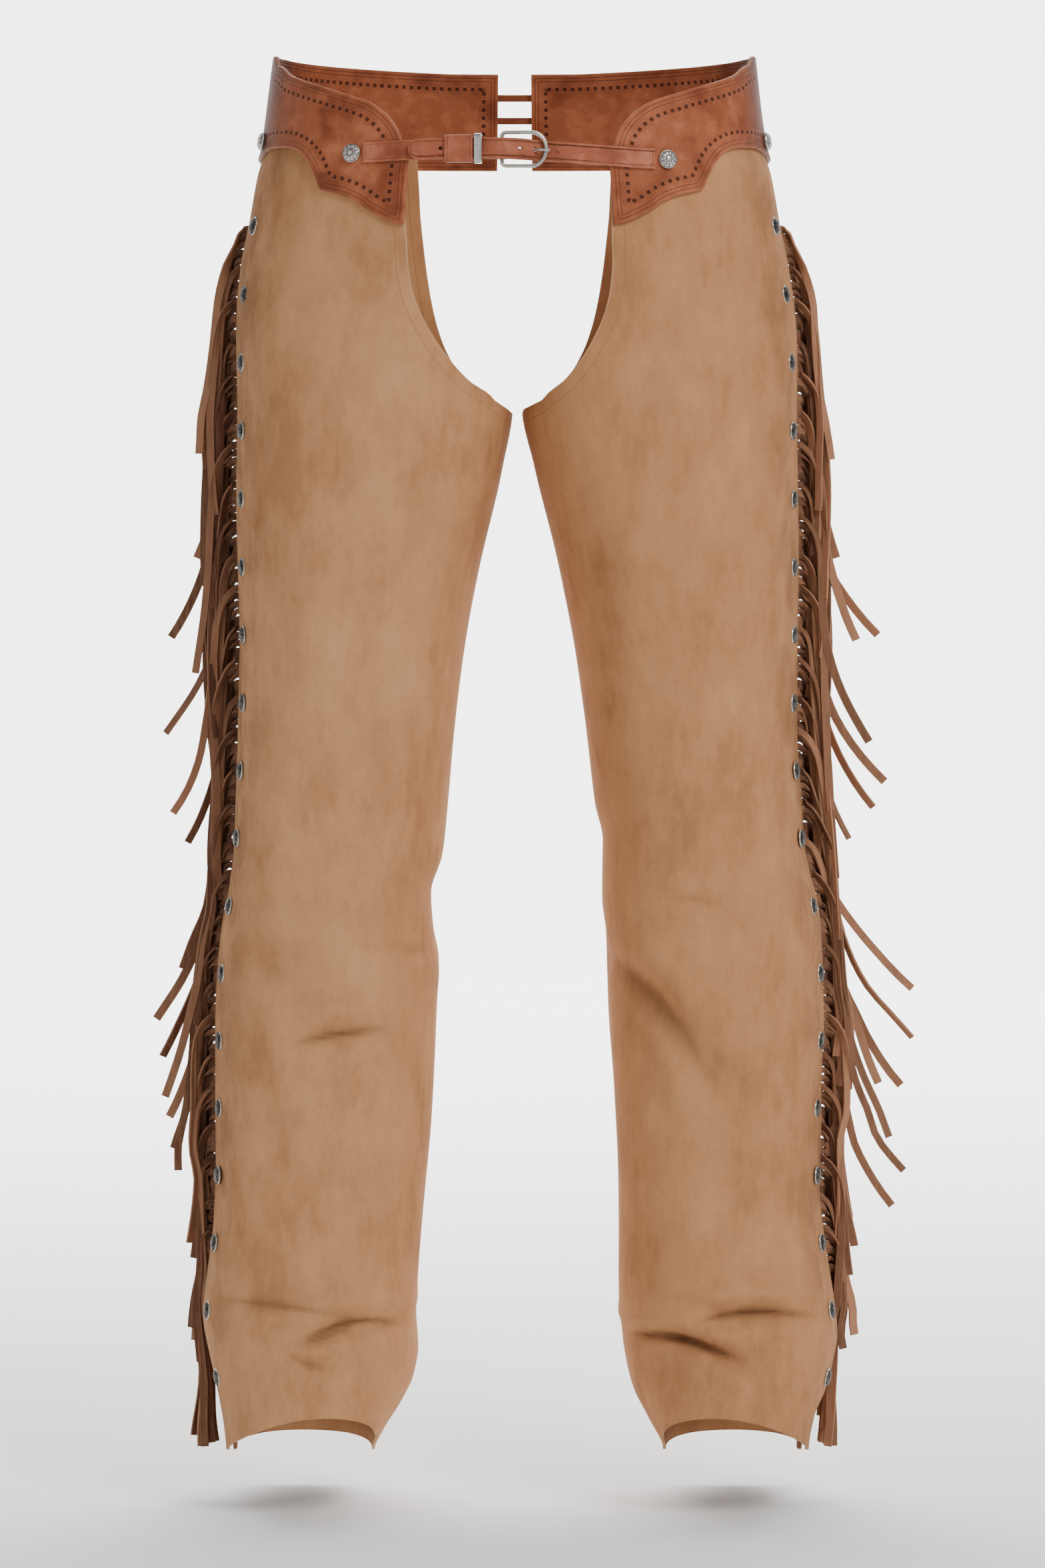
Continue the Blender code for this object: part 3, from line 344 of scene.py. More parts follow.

# %% [markdown]
# ## Creases
#
# Leather this heavy folds in a few long soft creases where the leg bends and where it stands
# on the instep. Each row of `FOLDS` is one crease: a bent line from end to end, a trough along
# it, and a raised lip above. `SMALL_FOLDS` adds the lesser ones that lie between them, and a
# slow swell keeps the flat stretches from looking drawn with a ruler. Troughs keep their depth
# as an attribute so that the suede can be painted darker in them as shade, and paler on the
# lips as highlight.

# %% Tables of creases
# Creases of the cloth, each a bent line from end to end through a middle point. x is measured
# outwards from the middle of the wearer, depth is how far the trough goes in, width is its
# half width and lift raises the cloth above it.
FOLDS = Table(
    "side face x0 z0 x1 z1 x2 z2 depth width lift",
    # knee and lower leg, wearer's right, front
    (-1, 1, 156, -617, 120, -609, 83, -607, 5.5, 9, 3.0),
    (-1, 1, 193, -548, 163, -569, 137, -600, 2.6, 15, 1.0),
    (-1, 1, 92, -541, 68, -553, 53, -548, 4.0, 12, 1.5),
    (-1, 1, 210, -795, 158, -797, 108, -806, 4.6, 11, 2.0),
    (-1, 1, 156, -825, 110, -808, 74, -816, 6.0, 8, 3.0),
    (-1, 1, 161, -826, 143, -836, 122, -838, 4.0, 6, 1.5),
    (-1, 1, 188, -834, 185, -857, 182, -885, 2.4, 10, 0.0),
    (-1, 1, 168, -330, 162, -390, 157, -445, 2.2, 16, 0.5),
    # knee and lower leg, wearer's left, front
    (1, 1, 58, -556, 102, -594, 140, -652, 7.0, 13, 4.0),
    (1, 1, 98, -521, 124, -516, 150, -528, 3.0, 7, 1.4),
    (1, 1, 120, -810, 165, -801, 214, -808, 7.0, 8, 3.0),
    (1, 1, 74, -824, 116, -820, 160, -837, 7.5, 7, 3.5),
    (1, 1, 140, -772, 157, -770, 175, -773, 2.2, 8, 0.5),
    (1, 1, 86, -680, 82, -728, 89, -772, 2.6, 11, 0.0),
    (1, 1, 160, -366, 150, -397, 142, -430, 2.0, 12, 0.5),
    # backs of the knees and ankles
    (-1, -1, 74, -528, 128, -516, 184, -532, 6.0, 10, 3.0),
    (-1, -1, 86, -566, 132, -578, 176, -562, 5.0, 9, 2.5),
    (-1, -1, 96, -240, 128, -262, 168, -248, 4.0, 14, 2.0),
    (-1, -1, 92, -792, 140, -804, 192, -790, 6.0, 9, 3.0),
    (-1, -1, 104, -838, 148, -826, 190, -842, 5.0, 8, 2.5),
    (1, -1, 80, -520, 136, -532, 190, -514, 6.0, 10, 3.0),
    (1, -1, 92, -572, 140, -560, 186, -575, 5.0, 9, 2.5),
    (1, -1, 92, -252, 132, -238, 172, -256, 4.0, 14, 2.0),
    (1, -1, 96, -800, 150, -788, 202, -804, 6.0, 9, 3.0),
    (1, -1, 108, -836, 152, -846, 200, -832, 5.0, 8, 2.5),
)

# The lesser creases between them
SMALL_FOLDS = Table(
    "side face x0 z0 x1 z1 x2 z2 depth width lift",
    (1, 1, 60, -586, 82, -606, 104, -650, 4.4, 17, 0.0),
    (-1, 1, 204, -512, 178, -540, 150, -556, 2.2, 20, 0.6),
    (-1, 1, 168, -560, 176, -586, 190, -612, 1.6, 12, 0.4),
    (1, 1, 100, -820, 124, -824, 152, -834, 3.4, 4, 1.6),
    (-1, 1, 152, -824, 134, -819, 112, -810, 4.0, 4, 2.0),
    (-1, 1, 208, -700, 199, -724, 196, -756, 1.8, 8, 0.4),
    (-1, 1, 178, -596, 158, -588, 140, -590, 1.8, 7, 0.6),
    (-1, 1, 118, -636, 96, -630, 78, -634, 2.0, 8, 0.8),
    (-1, 1, 110, -664, 132, -680, 139, -706, 1.3, 12, 0.3),
    (-1, 1, 184, -812, 160, -810, 140, -814, 2.6, 5, 1.2),
    (-1, 1, 118, -815, 98, -817, 82, -812, 2.2, 5, 1.0),
    (-1, 1, 60, -180, 64, -262, 78, -340, 1.5, 17, 0.3),
    (-1, 1, 178, -148, 172, -220, 176, -300, 1.6, 15, 0.3),
    (-1, 1, 112, -462, 106, -500, 112, -536, 1.3, 13, 0.3),
    (1, 1, 58, -252, 55, -312, 54, -404, 1.8, 12, 0.4),
    (1, 1, 189, -610, 193, -654, 203, -694, 1.8, 8, 0.6),
    (1, 1, 110, -600, 140, -604, 172, -590, 1.5, 9, 0.4),
    (1, 1, 84, -640, 104, -668, 112, -702, 1.6, 10, 0.4),
    (1, 1, 100, -486, 116, -494, 128, -502, 1.4, 9, 0.3),
    (1, 1, 96, -796, 120, -794, 142, -800, 2.2, 5, 1.0),
    (1, 1, 150, -822, 176, -822, 200, -828, 2.4, 5, 1.1),
    (1, 1, 178, -180, 172, -240, 174, -320, 1.5, 16, 0.3),
    (1, 1, 112, -452, 118, -492, 130, -530, 1.3, 13, 0.3),
    (-1, -1, 110, -545, 134, -548, 160, -546, 2.4, 6, 1.0),
    (-1, -1, 120, -330, 130, -400, 126, -470, 1.6, 15, 0.4),
    (-1, -1, 110, -640, 136, -650, 170, -640, 2.0, 12, 0.6),
    (-1, -1, 120, -816, 150, -818, 182, -812, 2.4, 6, 1.0),
    (1, -1, 112, -548, 140, -544, 168, -550, 2.4, 6, 1.0),
    (1, -1, 122, -336, 134, -404, 138, -476, 1.6, 15, 0.4),
    (1, -1, 104, -634, 140, -646, 174, -638, 2.0, 12, 0.6),
    (1, -1, 116, -820, 150, -816, 188, -822, 2.4, 6, 1.0),
)


print("creases:", len(FOLDS.rows) + len(SMALL_FOLDS.rows))

# %% [markdown]
# A crease is cut up into short straight parts, and each place on the cloth takes the nearest of
# them. The trough has a soft bottom and a narrower, steeper part in it. It fades out towards
# both ends, and so does the lip.

# %% Creases
BEND_PARTS = 8


def along_crease(ends, here):
    """Distance to a bent line, how far along it that is, and whether the place is above it."""
    start, middle, end = ends
    bend = 2 * middle - (start + end) / 2
    t = np.linspace(0, 1, BEND_PARTS + 1)[:, None]
    points = (1 - t) ** 2 * start + 2 * t * (1 - t) * bend + t * t * end
    best = np.full(here.shape[:-1], 1e9)
    along, above = np.zeros(best.shape), np.ones(best.shape)
    for i in range(BEND_PARTS):
        run = points[i + 1] - points[i]
        share = np.clip((here - points[i]) @ run / (run @ run), 0.0, 1.0)
        off = here - (points[i] + share[..., None] * run)
        distance = np.hypot(off[..., 0], off[..., 1])
        nearer = distance < best
        best = np.where(nearer, distance, best)
        along = np.where(nearer, (i + share) / BEND_PARTS, along)
        above = np.where(nearer, off[..., 1] > 0, above)
    return best, along, above


def creases(side, around, z):
    """How far the creases move the cloth out, and how close a point is to a sharp one."""
    x = section(side, around, z)[0]
    face = np.where(np.mod(around, 1.0) < 0.5, 1, -1)
    here = np.stack([x, z], axis=-1)
    total, sharp = np.zeros(x.shape), np.zeros(x.shape)
    for row in np.concatenate([FOLDS.rows, SMALL_FOLDS.rows]):
        fold_side, fold_face, depth, width, lift = *row[:2], *row[8:]
        if fold_side != side:
            continue
        distance, along, above = along_crease(row[2:8].reshape(3, 2), here)
        strength = np.sin(np.pi * along) ** 0.6 * (face == fold_face)
        reach = distance / width
        trough = 0.55 * np.exp(-reach * reach) + 0.45 * np.exp(-2.4 * reach)
        total -= depth * strength * trough
        total += lift * strength * (0.4 + 0.6 * above) * np.exp(-((reach - 1.7) ** 2) * 1.4)
        # closeness to a sharp crease, where the suede paints a thin shadow line
        line = (distance < 6) * strength ** 2 * np.exp(-(distance / 1.9) ** 2)
        sharp = np.maximum(sharp, line * ease(2.4, 6.5, depth) * (width < 12))
    return total, sharp


def swell(side, around, z):
    """Slow unevenness of hanging leather, under a millimetre."""
    turn = 2 * np.pi * np.mod(around, 1.0)
    waves = 0.34 * np.sin(3 * turn + z / 47 + side) + 0.26 * np.sin(5 * turn - z / 31 + 2 * side)
    waves += 0.20 * np.sin(2 * turn + z / 22 + 0.8) + 0.12 * np.sin(9 * turn + z / 64)
    return waves * ease(-60, -130, z)


knee = creases(1, np.linspace(0.0, 0.5, 60), np.full(60, -570.0))[0]
print("deepest trough across the knee:", round(float(knee.min()), 1))

# %% [markdown]
# ## Shader arithmetic
#
# A finish is a small network of nodes. `Value` wraps one output socket so that nodes can be
# combined with ordinary arithmetic, which reads better than a list of links.

# %% Arithmetic on sockets


class Value:
    """An output socket that takes part in arithmetic."""

    def __init__(self, finish, socket):
        self.finish, self.socket = finish, socket

    def math(self, operation, *others):
        inputs = {i: other for i, other in enumerate((self, *others))}
        return self.finish.add("ShaderNodeMath", {"operation": operation}, inputs)

    def __add__(self, other):
        return self.math("ADD", other)

    def __sub__(self, other):
        return self.math("SUBTRACT", other)

    def __rsub__(self, other):
        return self * -1.0 + other

    def __mul__(self, other):
        return self.math("MULTIPLY", other)

    def __truediv__(self, other):
        return self.math("DIVIDE", other)

    __radd__, __rmul__ = __add__, __mul__

    def between(self, low, high, start=0.0, end=1.0):
        """Smooth step from start, where this is low, to end, where it is high."""
        inputs = {"Value": self, "From Min": low, "From Max": high, "To Min": start, "To Max": end}
        settings = {"interpolation_type": "SMOOTHSTEP"}
        return self.finish.add("ShaderNodeMapRange", settings, inputs)

    def line(self, middle, half_width):
        """1 where this equals middle, falling to 0 half a width away."""
        return (self - middle).math("ABSOLUTE").between(0.0, half_width, 1.0, 0.0)


print("operators:", [name for name in vars(Value) if name.startswith("__r")])

# %% [markdown]
# `Finish.add` makes any other node from its type, its settings and its inputs. Lengths inside a
# finish are millimetres too: `place` is the object's own coordinates times a thousand, so a
# noise of size 1.0 has features a millimetre across, and `stretched` draws them out.

# %% Finishes and colours


class Finish:
    """A material built from nodes round one Principled shader."""

    def __init__(self, name):
        self.material = bpy.data.materials.new(name)
        self.material.use_nodes = True
        self.tree = self.material.node_tree
        self.shader = self.tree.nodes["Principled BSDF"]
        texture = self.tree.nodes.new("ShaderNodeTexCoord")
        self.place = self.scale(Value(self, texture.outputs["Object"]), 1000.0)

    def connect(self, node, key, value):
        if isinstance(value, Value):
            self.tree.links.new(value.socket, node.inputs[key])
        else:
            node.inputs[key].default_value = value

    def add(self, kind, settings, inputs, output=0):
        node = self.tree.nodes.new(kind)
        for key, value in settings.items():
            setattr(node, key, value)
        for key, value in inputs.items():
            self.connect(node, key, value)
        return Value(self, node.outputs[output])

    def scale(self, vector, factor):
        settings = {"operation": "SCALE"}
        return self.add("ShaderNodeVectorMath", settings, {"Vector": vector, "Scale": factor})

    def stretched(self, factors):
        settings = {"operation": "MULTIPLY"}
        return self.add("ShaderNodeVectorMath", settings, {0: self.place, 1: factors})

    def noise(self, size, detail=2.0, roughness=0.5, vector=None):
        """Noise with features of about that many millimetres."""
        inputs = {"Vector": vector or self.place, "Scale": 1 / size, "Detail": detail,
                  "Roughness": roughness}
        return self.add("ShaderNodeTexNoise", {}, inputs)

    def cells(self, size, output="Distance"):
        inputs = {"Vector": self.place, "Scale": 1 / size}
        return self.add("ShaderNodeTexVoronoi", {}, inputs, output)

    def attribute(self, name):
        return self.add("ShaderNodeAttribute", {"attribute_name": name}, {}, "Fac")

    def mix(self, factor, first, second):
        inputs = {0: factor, 6: first, 7: second}
        return self.add("ShaderNodeMix", {"data_type": "RGBA"}, inputs, 2)

    def finish(self, height, relief, **inputs):
        """Link the shader's inputs; height is in millimetres and relief is its strength."""
        bump = {"Height": height, "Strength": relief, "Distance": 0.001}
        self.connect(self.shader, "Normal", self.add("ShaderNodeBump", {}, bump))
        for key, value in inputs.items():
            self.connect(self.shader, key.replace("_", " "), value)
        return self.material


def rgb(red, green, blue):
    """Linear colour from the usual 0 to 255 numbers."""
    values = []
    for value in (red / 255, green / 255, blue / 255):
        values.append(value / 12.92 if value <= 0.04045 else ((value + 0.055) / 1.055) ** 2.4)
    return (*values, 1.0)


print("middle grey:", [round(v, 3) for v in rgb(128, 128, 128)])

# %% [markdown]
# ## Suede
#
# Suede is the split side of the hide: matt, with a nap of short fibres that lies in patches.
# Brushed one way it looks light and the other way dark, so the colour is a mix of large soft
# clouds, smaller patches and faint streaks along the leg, and the finest noise is the fibre.
# Shade is painted into the colour: the troughs of the creases are darker, and a little glossier,
# a thin dark shadow line runs in the sharp ones, and the side towards the outer seam is darker.
# Dark patches, partly dirt and partly painted shade, gather most towards the outer seam, and the
# lips above the creases are painted paler as highlight. A fresh cut edge is pale, and a creased
# line runs parallel to it where the edge was turned and flattened.

# %% Suede finishes


def suede(name, light, middle, dark, shade_and_dirt, shaded):
    it = Finish(name)
    clouds = it.noise(110, 3, 0.55)
    patches = it.noise(30, 4, 0.6, it.stretched((1.0, 1.0, 0.5)))
    nap = it.noise(7, 4, 0.65, it.stretched((1.0, 1.0, 0.4)))
    fibre = it.noise(0.9, 3, 0.7)
    tooth = it.noise(2.4, 2, 0.6)
    crease, sharp, edge, outer = (it.attribute(key) for key in ("crease", "sharp", "edge", "outer"))

    shade = clouds * 0.42 + patches * 0.38 + nap * 0.20
    colour = it.mix(shade.between(0.38, 0.52), dark, middle)
    colour = it.mix(shade.between(0.48, 0.64), colour, light)
    colour = it.mix(fibre.between(0.35, 0.75) * 0.22, colour, rgb(206, 156, 110))
    colour = it.mix(tooth.between(0.50, 0.72) * 0.22, colour, dark)
    # painted shade on the side towards the outer seam
    colour = it.mix(outer * shaded, colour, shade_and_dirt)
    # dark patches: dirt, and painted shade where they are weighted towards the outer seam
    dirt_and_shade_patches = it.noise(34, 4, 0.68, it.stretched((1.0, 1.0, 0.55))).between(0.40, 0.66)
    colour = it.mix((outer * 0.85 + 0.15) * dirt_and_shade_patches * 0.62, colour, shade_and_dirt)
    # painted shade in the crease troughs, and a painted shadow line in the sharp ones
    colour = it.mix(crease.between(-1.0, -6.5) * 0.50, colour, shade_and_dirt)
    colour = it.mix(sharp * 0.62, colour, rgb(74, 44, 26))
    # painted highlight on the raised lips above the creases
    colour = it.mix(crease.between(0.8, 3.0) * 0.20, colour, light)
    turned = edge.line(8.5, 0.9)
    colour = it.mix(turned * 0.30, colour, dark)
    cut = edge.between(1.1, 0.35)
    colour = it.mix(cut * 0.45, colour, rgb(210, 170, 132))

    height = fibre * 0.10 + tooth * 0.18 + nap * 0.22 - turned * 0.35 + patches * 0.30
    rough = 0.93 - crease.between(-1.0, -6.0) * 0.12 - clouds * 0.06
    return it.finish(height, 0.8, Base_Color=colour, Roughness=rough, Sheen_Weight=0.02,
                     Sheen_Roughness=0.45, Sheen_Tint=rgb(226, 180, 130), Specular_IOR_Level=0.08)


# the last two of each are the colour of the painted shade and dirt, and how much painted shade the
# side towards the outer seam gets
suedes = {
    -1: suede("suede_right", rgb(200, 150, 106), rgb(189, 138, 96), rgb(167, 117, 79),
              rgb(104, 72, 46), 0.34),
    1: suede("suede_left", rgb(196, 144, 100), rgb(185, 132, 91), rgb(164, 114, 77),
             rgb(108, 72, 47), 0.30),
}
print("suedes:", [finish.name for finish in suedes.values()])

# %% [markdown]
# ## Fringe suede
#
# The fringe is dyed darker, and each strip has its own tone: `tone` is a number kept on its
# points. The nap is combed along the strip, and its cut edges are paler than its face. Near the
# seam, which `along` measures from, each strip is painted darker as the shade it lies in there.

# %% Fringe suede


def fringe_suede():
    it = Finish("fringe_suede")
    tone, along, edge = (it.attribute(key) for key in ("tone", "along", "edge"))
    streaks = it.noise(2.4, 3, 0.6, it.stretched((1.0, 1.0, 0.09)))
    patches = it.noise(14, 3, 0.6, it.stretched((1.0, 1.0, 0.4)))
    fibre = it.noise(0.8, 3, 0.7)
    colour = it.mix(tone.between(0.0, 0.45), rgb(92, 60, 44), rgb(130, 91, 68))
    colour = it.mix(tone.between(0.4, 1.0), colour, rgb(170, 122, 92))
    colour = it.mix(streaks.between(0.35, 0.7) * 0.30, colour, rgb(166, 122, 94))
    colour = it.mix(patches.between(0.5, 0.75) * 0.30, colour, rgb(92, 58, 42))
    colour = it.mix(edge.between(0.75, 1.0) * 0.32, colour, rgb(176, 130, 98))
    # painted shade where the strip goes into the seam
    colour = it.mix(along.between(9.0, 1.0) * 0.35, colour, rgb(78, 46, 30))
    height = fibre * 0.10 + streaks * 0.22
    rough = 0.90 - streaks * 0.10
    return it.finish(height, 0.7, Base_Color=colour, Roughness=rough, Sheen_Weight=0.08,
                     Sheen_Roughness=0.5, Sheen_Tint=rgb(205, 160, 120), Specular_IOR_Level=0.2)


strips = fringe_suede()
print("fringe:", strips.name)

# %% [markdown]
# ## Tooled leather and strap leather
#
# Smooth leather shows grain as tiny raised cells with fine creases between them. The yoke is
# tooled before it is sewn: two lines are pressed along every edge and a row of stamped dots
# follows inside them. `edge` is the distance from the cut edge, and `dot_along` and `dot_off`
# are measured along and off the line that the dots follow, so that a dot is simply a repeating
# square with round corners in those two numbers.

# %% Leather finishes
DOT_LINE, DOT_PITCH, DOT_HALF = 10.6, 5.7, 1.15


def tooling(it, edge, colour, height, rough, light, dark):
    """Pressed lines, stamped dots and the burnished band that the dots stand in."""
    along, off = it.attribute("dot_along"), it.attribute("dot_off")
    step = (along / DOT_PITCH).math("FRACT") - 0.5
    wide = (step * DOT_PITCH).math("ABSOLUTE")
    far = wide.math("SMOOTH_MAX", off.math("ABSOLUTE"), 0.5)
    dots = far.between(DOT_HALF + 0.25, DOT_HALF - 0.25)
    rim = far.line(DOT_HALF + 0.75, 0.6)
    lines = edge.line(2.7, 0.55).math("MAXIMUM", edge.line(5.2, 0.5))
    burnish = off.math("ABSOLUTE").between(4.2, 1.0)
    # painted shade on the yoke's sides towards the outer seam
    colour = it.mix(it.attribute("outer") * 0.85, colour, rgb(80, 35, 20))
    colour = it.mix(burnish * 0.22, colour, dark)
    colour = it.mix(dots * 0.85, colour, rgb(58, 28, 18))
    colour = it.mix(lines * 0.50, colour, rgb(96, 48, 30))
    colour = it.mix(rim * 0.25, colour, light)
    return colour, height - dots * 0.75 + rim * 0.12 - lines * 0.42, rough + dots * 0.15


def smooth_leather(name, light, middle, dark, tooled):
    it = Finish(name)
    edge = it.attribute("edge")
    clouds = it.noise(38, 3, 0.6)
    patches = it.noise(9, 3, 0.6)
    pores = it.cells(0.9).between(0.0, 0.55)
    scratches = it.noise(3.0, 2, 0.6, it.stretched((0.2, 1.0, 1.0))).between(0.62, 0.70)
    colour = it.mix(clouds.between(0.34, 0.52), dark, middle)
    colour = it.mix((clouds * 0.6 + patches * 0.4).between(0.48, 0.64), colour, light)
    colour = it.mix((1.0 - pores) * 0.20, colour, dark)
    colour = it.mix(scratches * 0.12, colour, light)
    height = pores * 0.05 + patches * 0.10 - scratches * 0.02
    rough = 0.52 + patches * 0.16 - pores * 0.05
    if tooled:
        colour, height, rough = tooling(it, edge, colour, height, rough, light, dark)
    else:
        lines = edge.line(1.7, 0.45)
        colour = it.mix(lines * 0.40, colour, rgb(104, 54, 34))
        height = height - lines * 0.28
    worn = edge.between(1.5, 0.3) * it.noise(6, 2, 0.6).between(0.30, 0.55)
    colour = it.mix(worn * 0.30, colour, rgb(184, 118, 82))
    return it.finish(height, 0.85, Base_Color=colour, Roughness=rough, Specular_IOR_Level=0.14)


yoke_leather = smooth_leather("tooled_leather", rgb(174, 103, 72), rgb(152, 86, 57),
                              rgb(122, 63, 40), True)
strap_leather = smooth_leather("strap_leather", rgb(181, 111, 85), rgb(159, 90, 65),
                               rgb(127, 67, 46), False)
lace_leather = smooth_leather("lace_leather", rgb(160, 96, 66), rgb(136, 74, 48),
                              rgb(108, 56, 36), False)
print("leathers:", yoke_leather.name, strap_leather.name, lace_leather.name)

# %% [markdown]
# ## Silver plate
#
# The buckle and the domes are plated and antiqued: bright where they are rubbed, nearly black
# in the cut lines. The number kept on the points for this is 1 at the bottom of a cut line and 0
# on the raised metal; on the plain studs it is near 1 over all the dome but the rim, a painted
# reflection of the dark leather round them.

# %% Metal finish


def silver_plate():
    it = Finish("silver_plate")
    recess = it.attribute("recess")
    tarnish = it.noise(2.2, 3, 0.6).between(0.45, 0.72)
    scratches = it.noise(0.7, 2, 0.7, it.stretched((0.25, 1.0, 1.0)))
    # patina in the cut lines, and on the plain studs a painted dark reflection
    dark = recess.between(0.2, 0.9) * 0.88 + tarnish * 0.30
    colour = it.mix(dark, rgb(202, 198, 190), rgb(46, 40, 35))
    rough = 0.22 + tarnish * 0.16 + scratches * 0.12 + recess * 0.25
    return it.finish(scratches * 0.03, 0.5, Base_Color=colour, Roughness=rough, Metallic=0.96)


silver = silver_plate()
print("metal:", silver.name)

# %% [markdown]
# ## Making pieces
#
# `build` makes a mesh from points and faces and keeps numbers on its points, which the finishes
# read as attributes. `piece` then gives a mesh its finish, sets it riding on the frame and hides
# the solid that it stands for.

# %% Pieces


def piece(name, mesh, finish, nodes, crisp):
    """Piece from a mesh; edges that turn by more than crisp degrees stay crisp."""
    mesh.materials.append(finish)
    mesh.shade_smooth()
    mesh.set_sharp_from_angle(angle=math.radians(crisp))
    thing = bpy.data.objects.new(name, mesh)
    bpy.context.scene.collection.objects.link(thing)
    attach(thing, "root")
    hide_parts(*nodes)
    return thing


def build(name, points, faces, attributes):
    """Mesh from points in millimetres, with a number on every point for each attribute."""
    mesh = bpy.data.meshes.new(name)
    mesh.from_pydata((np.asarray(points) * 0.001).tolist(), [], faces)
    for key, values in attributes.items():
        layer = mesh.attributes.new(key, "FLOAT", "POINT")
        layer.data.foreach_set("value", np.asarray(values, dtype=np.float32).ravel())
    shape = bmesh.new()
    shape.from_mesh(mesh)
    loose = [vertex for vertex in shape.verts if not vertex.link_faces]
    bmesh.ops.delete(shape, geom=loose, context="VERTS")
    bmesh.ops.recalc_face_normals(shape, faces=shape.faces)
    shape.to_mesh(mesh)
    shape.free()
    return mesh


# %% [markdown]
# A leather piece is a wall: an outer grid of points, an inner grid behind it, and a strip of
# faces round the edge where the cut shows. `wall` makes one from two arrays of points, and can
# leave cells out for holes. Each edge that only one cell has is an edge of the leather.

# %% Walls


def wall(name, outer, inner, attributes, keep=None, wrap=False):
    """Closed wall between two grids of points, walled round its edge and its holes."""
    rows, columns = outer.shape[:2]
    number = np.arange(rows * columns).reshape(rows, columns)
    right = np.roll(number, -1, axis=1) if wrap else number[:, 1:]
    here = number if wrap else number[:, :-1]
    cells = np.stack([here[:-1], right[:-1], right[1:], here[1:]], axis=-1)
    keep = np.ones(cells.shape[:2], bool) if keep is None else keep
    cells = cells[keep]
    under = rows * columns
    faces = cells.tolist() + (cells[:, ::-1] + under).tolist()
    edges = {}
    for a, b in np.concatenate([cells[:, [i, (i + 1) % 4]] for i in range(4)]).tolist():
        if edges.pop((b, a), None) is None:
            edges[(a, b)] = True
    faces += [[b, a, a + under, b + under] for a, b in edges]
    points = np.concatenate([outer.reshape(-1, 3), inner.reshape(-1, 3)])
    both = {key: np.concatenate([values.ravel()] * 2) for key, values in attributes.items()}
    return build(name, points, faces, both)


print("a wall has an outer face, an inner face and a cut edge")

# %% [markdown]
# Tooling, edges and fringe are all placed by distance from a line. `nearest` measures that for
# whole grids of points at once, a few thousand at a time to spare memory, and `resample` sets
# the points of a line at even steps.

# %% Lines
CHUNK = 4000


def nearest(points, line, closed=True):
    """Distance from each point to a line of close points, and how far along it that is."""
    ends = np.roll(line, -1, axis=0) if closed else np.concatenate([line[1:], line[-1:]])
    lengths = np.linalg.norm(ends - line, axis=1)
    starts = np.concatenate([[0.0], np.cumsum(lengths)[:-1]])
    flat = points.reshape(-1, line.shape[1])
    distance, along = np.empty(len(flat)), np.empty(len(flat))
    for i in range(0, len(flat), CHUNK):
        part = flat[i:i + CHUNK]
        gaps = ((part[:, None] - line[None]) ** 2).sum(axis=2)
        k = gaps.argmin(axis=1)
        run = ends[k] - line[k]
        size = np.maximum((run ** 2).sum(axis=1), 1e-9)
        share = np.clip(((part - line[k]) * run).sum(axis=1) / size, 0, 1)
        distance[i:i + CHUNK] = np.linalg.norm(part - line[k] - run * share[:, None], axis=1)
        along[i:i + CHUNK] = starts[k] + share * lengths[k]
    return distance.reshape(points.shape[:-1]), along.reshape(points.shape[:-1])


def run_lengths(line):
    """Distance along an open line at each of its points."""
    return np.concatenate([[0.0], np.cumsum(np.linalg.norm(np.diff(line, axis=0), axis=1))])


def resample(line, step, closed=False):
    if closed:
        line = np.concatenate([line, line[:1]])
    lengths = run_lengths(line)
    count = max(int(round(lengths[-1] / step)), 4)
    marks = np.linspace(0, lengths[-1], count + 1)
    found = np.stack([np.interp(marks, lengths, line[:, k]) for k in range(line.shape[1])], 1)
    return found[:-1] if closed else found


print("points at 1 mm on a line of 10 mm:", len(resample(np.array([(0, 0), (10, 0)]), 1)))

# %% [markdown]
# ## Outlines of the yoke
#
# The yoke's front edges are written as x and z because they are drawn flat, and its back edges
# by place round.

# %% Tables of the yoke
YOKE_FRONT_TOP = Table(
    "x z",
    (71.2, -3),
    (72.6, 3),
    (75, 9),
    (79, 15),
    (84, 20.5),
    (96, 28.5),
    (113, 34.5),
    (131, 40.5),
    (150, 48),
    (160, 56),
)

YOKE_FRONT_BOTTOM = Table(
    "x z",
    (71, -55),
    (78, -54),
    (84, -51.5),
    (90, -48.5),
    (97, -44.5),
    (103, -40),
    (110, -36.5),
    (117, -34.2),
    (124, -32.6),
    (129.5, -31),
    (132, -24.5),
    (135, -18),
    (139, -11),
    (144, -5.5),
    (150, -2.5),
    (157, -1.5),
    (163, -1.5),
    (168, -2.5),
)

YOKE_BACK = Table(
    "round top bottom",
    (0.45, 63, -5),
    (0.50, 64, -9),
    (0.58, 64, -11),
    (0.70, 62, -12),
    (0.82, 60, -10),
    (0.93, 58, -10),
)
print("yoke's depth at the outer seam:", YOKE_BACK.at("top", 0.5) - YOKE_BACK.at("bottom", 0.5))

# %% [markdown]
# Both kinds of edge are joined into one height for every place round. The waist is turned a
# little about the wearer. The legs' top edges are the yoke's lower edge moved up, so that the
# yoke laps over them by 12 mm.

# %% Yoke outlines
YOKE_OVERLAP, BACK_EDGE_X = 12.0, 12.0
YOKE_STEP = 0.6
TURN, WAIST_HALF = 4.5, 173.0


